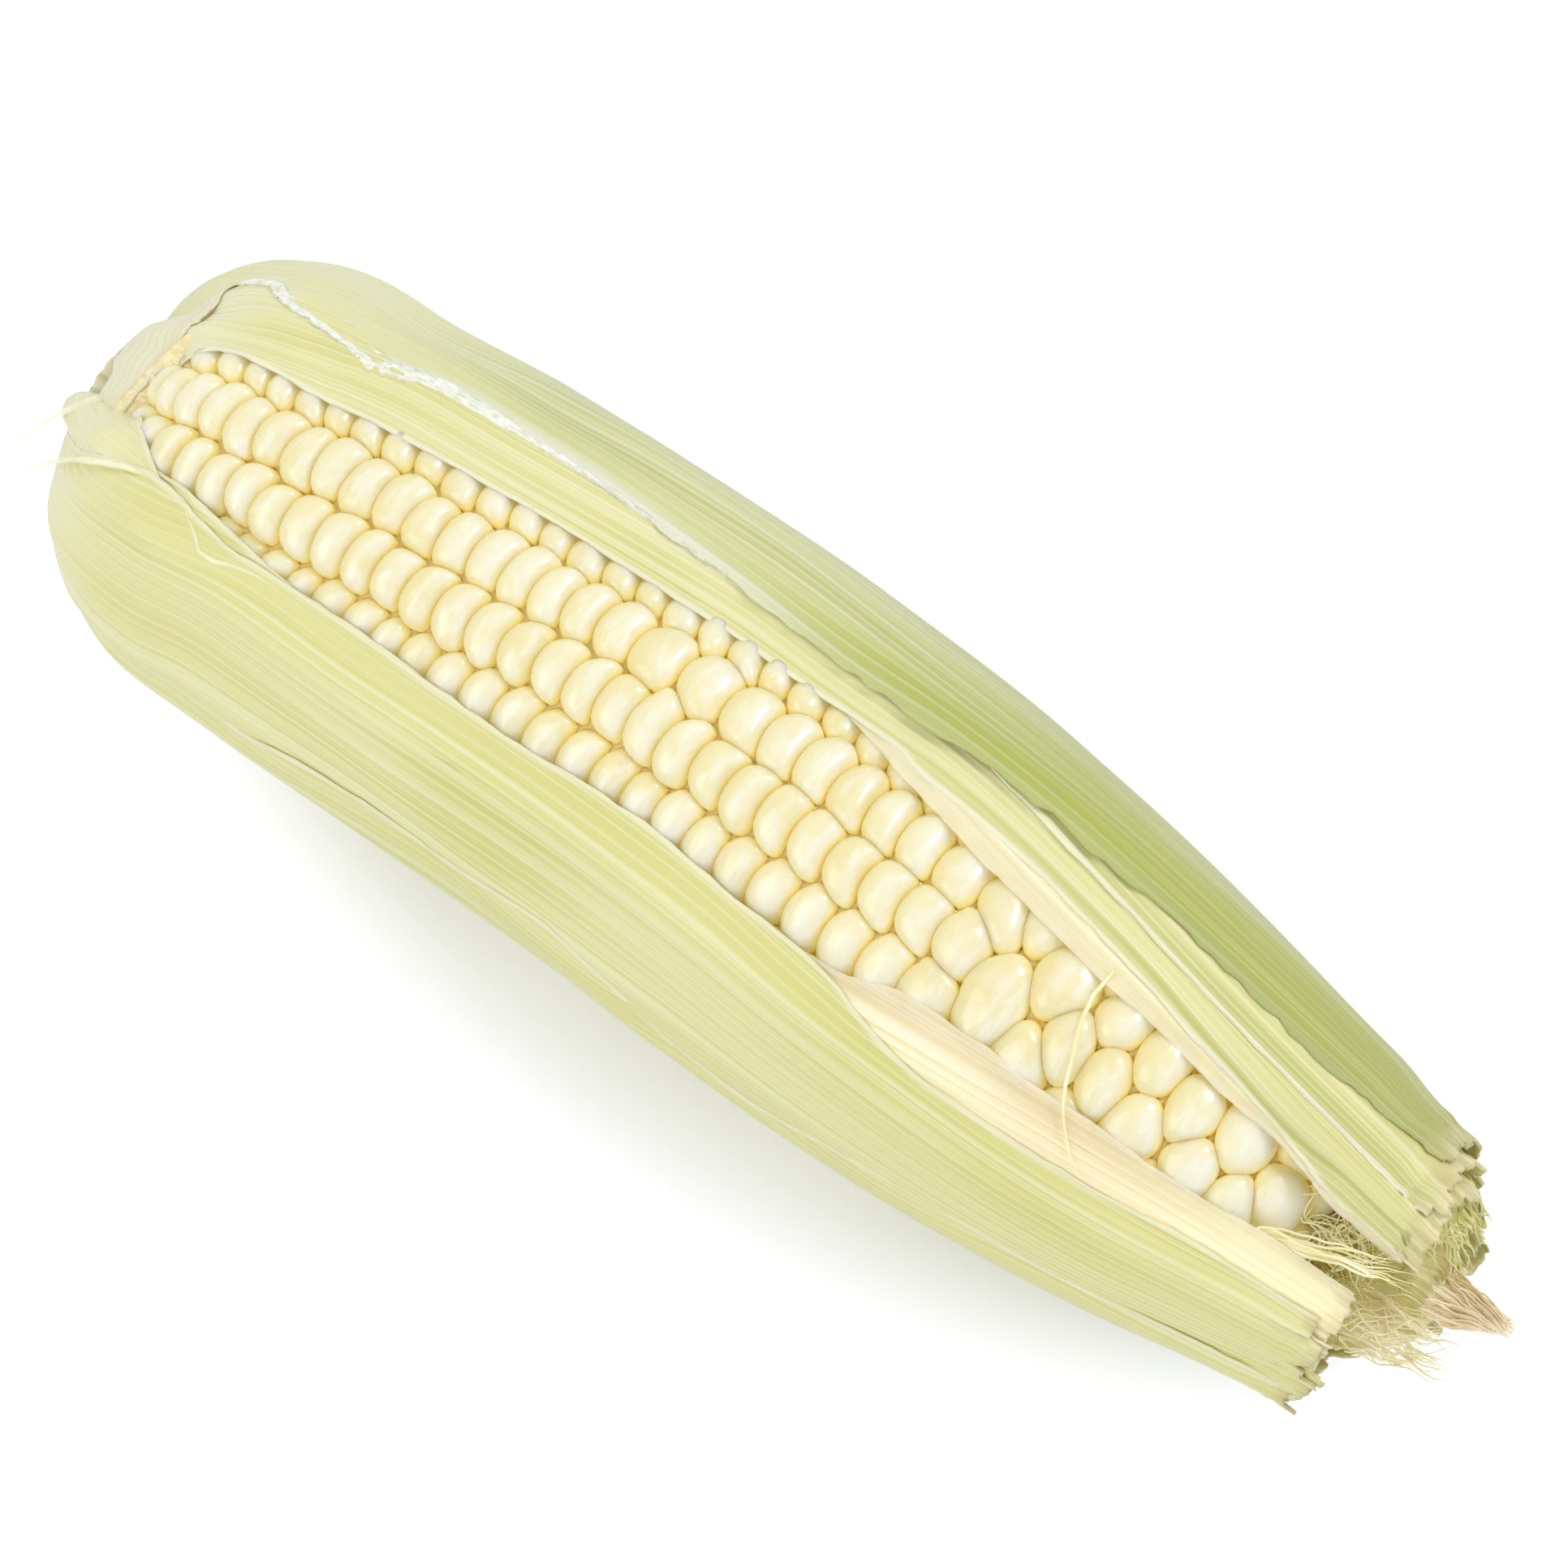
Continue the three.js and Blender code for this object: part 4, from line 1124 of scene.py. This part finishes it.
def make_membrane():
    """Dry torn skin that hangs from the edge of the upper outer leaf onto the leaf inside it."""
    outer, inner = (next(i for i, leaf in enumerate(LEAVES) if leaf.name == name)
                    for name in ("leaf_upper_outer", "leaf_upper_second"))
    distance = np.arange(lining.distance_to(-87), lining.distance_to(-14), 0.4)[:, None]
    x = lining.at(distance)[0]
    wide = curve([(-87, 0.5), (-82, 1.5), (-75, 2.3), (-66, 2.5), (-56, 1.8), (-46, 0.9),
                  (-28, 0.4), (-14, 0.15)], x)
    torn = 1 + 0.2 * noise(x / 4.1, 0, 141) + 0.16 * noise(x / 1.1, 0, 142) + 0.1 * scatter(x * 3, 5)
    share = np.linspace(1, -0.4, 15)
    gap = wide * torn * share
    phi = curve(LEAVES[outer].low, x) - gap / DEGREE
    hang = ease(-0.1, 0.8, share)
    held = height(outer, x, phi) - turned_in(x, -gap) + 0.3
    away = held * (1 - hang) + (lie(inner, x, phi) + 0.28) * hang + swell(x, phi)
    away = away + 0.1 * noise(x / 2.4, gap / 0.8, 143) + 0.07 * noise(x / 0.9, gap / 0.5, 144)
    piece = new_sheet("husk_membrane", husk_point(distance, phi, away + 0.06),
                      husk_point(distance, phi, away - 0.06), MEMBRANE_SKIN)
    give_both_sides(piece, "edge", (1 - np.abs(share)) * wide)
    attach(piece, "root")


# Stub of the stalk and loose scraps of leaf ---------------

# The stub from its foot on the cob to the middle of its cut face, as position and radius.
STUB = [(-90.9, 12.2), (-91.4, 12.3), (-92.3, 9.4), (-93, 8.1), (-94, 7.9), (-97.6, 8.3),
        (-98.8, 8.35), (-99.3, 8.0), (-99.45, 7.4),
        (-99.3, 6.8), (-99.25, 5.6), (-99.35, 4.2), (-99.3, 2.8), (-99.35, 1.4)]
CUT_FACE = -99.1


def make_stub():
    """Ribbed stub whose cut face shows the ends of its fibres."""
    sides = 120
    turn = np.linspace(0, 360, sides, endpoint=False)
    rows = []
    for (x0, r0), (x1, r1) in zip(STUB[:-1], STUB[1:]):
        steps = max(int(np.hypot(x1 - x0, r1 - r0) / 0.35), 1)
        rows += [(x0 + (x1 - x0) * k / steps, r0 + (r1 - r0) * k / steps) for k in range(steps)]
    rows.append(STUB[-1])
    points = []
    for x, r in rows:
        cut = x < CUT_FACE
        ribs = 0.16 * noise(turn / 7, 3, 81) + 0.09 * noise(turn / 3, 5, 82)
        rough = 0.16 * noise(r * np.cos(np.radians(turn)) / 0.5, r * np.sin(np.radians(turn)) / 0.5, 83)
        points.append(place(x + cut * rough, r + (1 - cut) * ribs, turn, 0.5))
    rings = [[row * sides + k for k in range(sides)] for row in range(len(rows))]
    faces = [face for pair in zip(rings[:-1], rings[1:]) for face in bridge(*pair)]
    foot, heart = len(rows) * sides, len(rows) * sides + 1
    faces += [(a, b, heart) for a, b in next_in(rings[-1])] + [(b, a, foot) for a, b in next_in(rings[0])]
    points = np.vstack(points + [place([-88, -99.3], 0, 0)])
    piece = new_piece("stalk_stub", points, faces, STUB_SKIN)
    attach(piece, "root")
    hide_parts("shank")


def make_ribbon(name, spots, widths, solid, material=WISP_SKIN, upward=(-0.42, 0.3, 0.91)):
    """Narrow curved scrap of leaf along spots, given as x, radius and angle; solid is how
    little shows through it at each spot, and upward is the way that its upper side faces."""
    line = np.array([place(*spot, 1.0) for spot in spots])
    share = np.linspace(0, len(spots) - 1, 8 * len(spots))

    def along(values):
        return curve(list(enumerate(values)), share)[:, None]

    smooth = np.hstack([along(part) for part in line.T])
    way = np.gradient(smooth, axis=0)
    way /= np.linalg.norm(way, axis=1)[:, None]
    over = np.cross(way, upward)
    over /= np.linalg.norm(over, axis=1)[:, None]
    above = np.cross(over, way)
    half = along(widths) * MM / 2
    lanes = np.linspace(-1, 1, 7)
    top = np.array([smooth + over * half * lane - above * 0.12 * MM * lane ** 2 * half / half.max()
                    for lane in lanes]).transpose(1, 0, 2)
    piece = new_sheet(name, top - above[:, None, :] * 0.07 * MM, top, material)
    give_both_sides(piece, "edge", along(solid) * (1 - 0.6 * lanes ** 2))
    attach(piece, "root")
    return piece


# Silk -----------------------------------------------------

def strand_growth(name, radius, curl, material):
    """Node tree that turns lines into curly closed tubes, which taper to their tips."""
    tree, g, given = node_tree(name + "_growth", {"Radius": radius, "Curl": curl})
    strands = g.add("GeometryNodeMeshToCurve", {}, {0: given["Geometry"]})
    smooth = g.add("GeometryNodeCurveSplineType", {"spline_type": "CATMULL_ROM"}, {0: strands})
    fine = g.add("GeometryNodeResampleCurve", {}, {"Curve": smooth, "Count": 22})
    spot = g.add("GeometryNodeInputPosition", {}, {})
    way = g.add("ShaderNodeTexNoise", {}, {"Vector": spot, "Scale": 260.0, "Detail": 1.0}, output="Color")
    level = g.add("ShaderNodeVectorMath", {"operation": "SUBTRACT"}, {0: way, 1: (0.5, 0.5, 0.5)})
    offset = g.add("ShaderNodeVectorMath", {"operation": "SCALE"}, {0: level, "Scale": given["Curl"]})
    curled = g.add("GeometryNodeSetPosition", {}, {"Geometry": fine, "Offset": offset})
    share = g.add("GeometryNodeSplineParameter", {}, {}, output="Factor")
    ring = g.add("GeometryNodeCurvePrimitiveCircle", {}, {"Resolution": 5, "Radius": 1.0})
    tubes = g.add("GeometryNodeCurveToMesh", {}, {
        "Curve": curled, "Profile Curve": ring, "Scale": given["Radius"] * (1.05 - share ** 3.0),
        "Fill Caps": True})
    end_tree(g, g.add("GeometryNodeSetShadeSmooth", {}, {"Geometry": tubes}), material)
    return tree


def make_strands(name, lines, radius, curl, material, nodes):
    """Strands along lines of points."""
    points, edges = [], []
    for line in lines:
        start = len(points)
        points.extend(map(tuple, line))
        edges.extend((start + k, start + k + 1) for k in range(len(line) - 1))
    mesh = bpy.data.meshes.new(name)
    mesh.from_pydata(points, edges, [])
    piece = add_object(name, mesh)
    bake_nodes(piece, strand_growth(name, radius, curl, material), {})
    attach(piece, "root")
    if nodes:
        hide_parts(*nodes)
    return piece


def strand_lines(count, seed, start, start_spread, stop, stop_spread, arch):
    """Lines between two places, each an x, a radius and an angle that scatter by their spread."""
    share = np.linspace(0, 1, 7)[:, None]
    lines = []
    for k in range(count):
        ends = []
        for n, (spot, spread) in enumerate(((start, start_spread), (stop, stop_spread))):
            off = np.array([scatter(k, seed + n + i) for i in range(3)])
            ends.append(place(*(np.array(spot) + np.array(spread) * off), 2.0))
        bulge = np.array([0, scatter(k, seed + 11), scatter(k, seed + 12)]) * arch * MM
        lines.append(ends[0] * (1 - share) + ends[1] * share + bulge * np.sin(math.pi * share))
    return lines


# The pieces -----------------------------------------------

make_kernels()
for index, leaf in enumerate(LEAVES):
    make_leaf(index, leaf)

make_membrane()
make_stub()
make_ribbon("wisp_upper", [(-94.6, 13.2, -7), (-95.6, 14.7, -13.5), (-96.9, 16.3, -21),
                           (-98.4, 17.2, -29.5), (-99.7, 18.7, -37.5), (-101.1, 20.6, -43.5)],
            [2.2, 2.2, 2.0, 1.7, 1.2, 0.4], [0.1, 0.6, 0.65, 0.6, 0.5, 0.2])
make_ribbon("wisp_lower", [(-80.4, 23.3, -17.2), (-82.4, 23.5, -17.8), (-85.2, 23.8, -19.9),
                           (-88.2, 23.3, -23.2), (-91.1, 21.4, -28.4), (-93.6, 20.8, -34.2),
                           (-95.7, 21.9, -38.8), (-97.4, 24.1, -43)],
            [0.5, 1.2, 1.7, 2.0, 2.2, 2.0, 1.4, 0.5], [0.3, 0.8, 0.8, 0.75, 0.7, 0.6, 0.5, 0.2])
make_ribbon("cap_lining", [(-87.3, 19.2, 38), (-87.8, 18.5, 31), (-88.2, 17.6, 24), (-88.6, 16.7, 15),
                           (-89.1, 16.0, 5), (-89.5, 15.5, -5), (-89.5, 15.5, -12), (-89.0, 16.1, -18)],
            [0.8, 1.8, 2.4, 2.8, 3.2, 3.8, 4.0, 2.4], [2] * 8, LINING_SKIN, (0.35, -0.2, 0.9))
make_ribbon("butt_tissue", [(-88.3, 15.9, 20), (-88.5, 15.3, 12), (-88.7, 14.9, 4), (-88.8, 14.8, -4),
                            (-88.6, 14.9, -12), (-88.4, 15.4, -20)],
            [1.6, 2.8, 3.4, 3.6, 3.0, 1.8], [2] * 6, LINING_SKIN, (0.6, -0.2, 0.8))
make_ribbon("wisp_fold", [(-73.0, 24.0, -19.3), (-71.7, 24.4, -20.8), (-70.0, 25.05, -22.9),
                          (-68.4, 25.8, -24.8), (-66.6, 25.8, -24.9), (-64.3, 25.2, -23.6),
                          (-60.6, 24.85, -22.3), (-58.2, 24.85, -22.1)],
            [0.2, 0.45, 0.6, 0.6, 0.8, 0.6, 0.45, 0.2], [0.3, 0.5, 0.55, 0.6, 0.65, 0.5, 0.4, 0.2],
            upward=(0, -0.5, 0.87))

# The bed of silk deep in the mouth, in the darker copy of the silk that paints its shade.
bed = strand_lines(240, 61, (81.5, 4, 60), (1.5, 4, 180), (89, 7, 70), (4.5, 6.0, 130), 1.3)
make_strands("silk_bed", bed, 0.00012, 0.005, SHADED_SILK_SKIN, [])
curls = strand_lines(80, 161, (81.5, 6.5, 40), (2, 3.5, 120), (89, 10.5, 30), (4, 3.5, 45), 1.5)
make_strands("silk_tuft_strands", curls, 0.0001, 0.006, SILK_SKIN, ["silk_tuft"])
across = strand_lines(11, 261, (79.5, 13.0, -18), (2, 0.7, 3), (95, 12.5, 10), (2.5, 1.5, 7), 0.5)
make_strands("silk_long_strands", across, 0.00017, 0.0018, SILK_SKIN, [])
frayed = strand_lines(80, 361, (89.5, 11.5, 212), (2.5, 2.5, 20), (97.5, 13, 196), (4, 2.2, 16), 1.2)
make_strands("silk_fringe", frayed, 0.00012, 0.0028, FRAYED_SKIN, [])
shreds = strand_lines(90, 561, (89.5, 14.0, 95), (1.8, 1.6, 58), (96, 12.0, 102), (1.6, 2.6, 66), 1.2)
make_strands("husk_shreds", shreds, 0.0002, 0.0032, SHRED_SKIN, [])
dried = strand_lines(240, 461, (98.6, 3.6, 44), (1.5, 2.2, 50), (105.0, 5.2, 47), (2.4, 0.7, 10), 0.7)
make_strands("silk_tail_strands", dried, 0.0001, 0.0015, DRIED_SILK_SKIN, ["silk_dried_tail"])
make_strands("silk_long_strand",
             [place([50.2, 49.9, 50, 50.8, 52, 53.3, 54.9, 57.1, 58.6, 59.8],
                    [21, 20.2, 20.4, 20.7, 20.6, 20.3, 20.5, 20.8, 20.8, 20.6],
                    [27.8, 22, 17.2, 8.5, 0, -10.5, -19.5, -25.5, -28.5, -31])],
             0.00028, 0.0008, SILK_SKIN, ["silk_strand"])


# Floor, lights and camera ---------------------------------

def make_stage():
    floor = new_piece("floor", [(-3, -3, 0), (3, -3, 0), (3, 3, 0), (-3, 3, 0)], [(0, 1, 2, 3)])
    material, g = new_material("floor_white")
    far = g.add("ShaderNodeVectorMath", {"operation": "LENGTH"}, {0: g.drawn_out(8.8, 18.5, 1.0)},
                output="Value")
    seen = g.add("ShaderNodeLightPath", {}, {}, output="Is Camera Ray")
    white = g.mix(seen, srgb(243, 246, 254), (1.1, 1.11, 1.25, 1))
    cloth = g.add("ShaderNodeBsdfDiffuse", {}, {"Color": white})
    paper = g.add("ShaderNodeEmission", {}, {"Color": (0.99, 0.995, 1.0, 1), "Strength": 1.25})
    both = g.add("ShaderNodeMixShader", {}, {0: seen * far.between(0.5, 1.0), 1: cloth, 2: paper})
    g.add("ShaderNodeOutputMaterial", {}, {"Surface": both})
    floor.data.materials.append(material)


def add_lamp(name, direction, distance, size, power):
    lamp = bpy.data.lights.new(name, "AREA")
    lamp.shape = "DISK"
    lamp.size = size
    lamp.energy = power
    holder = add_object(name, lamp)
    toward = Vector(direction).normalized()
    holder.location = toward * distance + Vector((0, 0, 0.03))
    holder.rotation_euler = toward.to_track_quat("Z", "Y").to_euler()


def make_light():
    world = bpy.data.worlds.new("studio")
    bpy.context.scene.world = world
    world.use_nodes = True
    world.node_tree.nodes.clear()
    g = Graph(world.node_tree)
    seen, glossy = (g.add("ShaderNodeLightPath", {}, {}, output=name)
                    for name in ("Is Camera Ray", "Is Glossy Ray"))
    strength = 0.82 + (seen + glossy).clamp() * 0.18
    back = g.add("ShaderNodeBackground", {}, {"Color": (0.98, 0.99, 1.0, 1), "Strength": strength})
    g.add("ShaderNodeOutputWorld", {}, {"Surface": back})
    add_lamp("key", (0.75, 0.75, 1.25), 1.0, 0.3, 2.2)
    add_lamp("fill", (-0.35, -0.9, 0.8), 1.2, 0.9, 2.6)


def make_camera():
    azimuth, elevation, distance = math.radians(37.3), math.radians(60), 0.65
    back = Vector((math.sin(azimuth) * math.cos(elevation),
                   -math.cos(azimuth) * math.cos(elevation), math.sin(elevation)))
    right = Vector((math.cos(azimuth), math.sin(azimuth), 0))
    up = back.cross(right)
    middle = (SHIFT + Vector((0, 0, 28.2))) * MM
    target = middle + right * 0.0021 + up * 0.0039
    lens = bpy.data.cameras.new("camera")
    lens.sensor_width = 36
    lens.lens = 127.2
    camera = add_object("camera", lens)
    camera.matrix_world = Matrix.Translation(target + back * distance) @ Matrix(
        (right, up, back)).transposed().to_4x4()
    bpy.context.scene.camera = camera


make_stage()
make_light()
make_camera()
bpy.context.scene.view_settings.view_transform = "Standard"
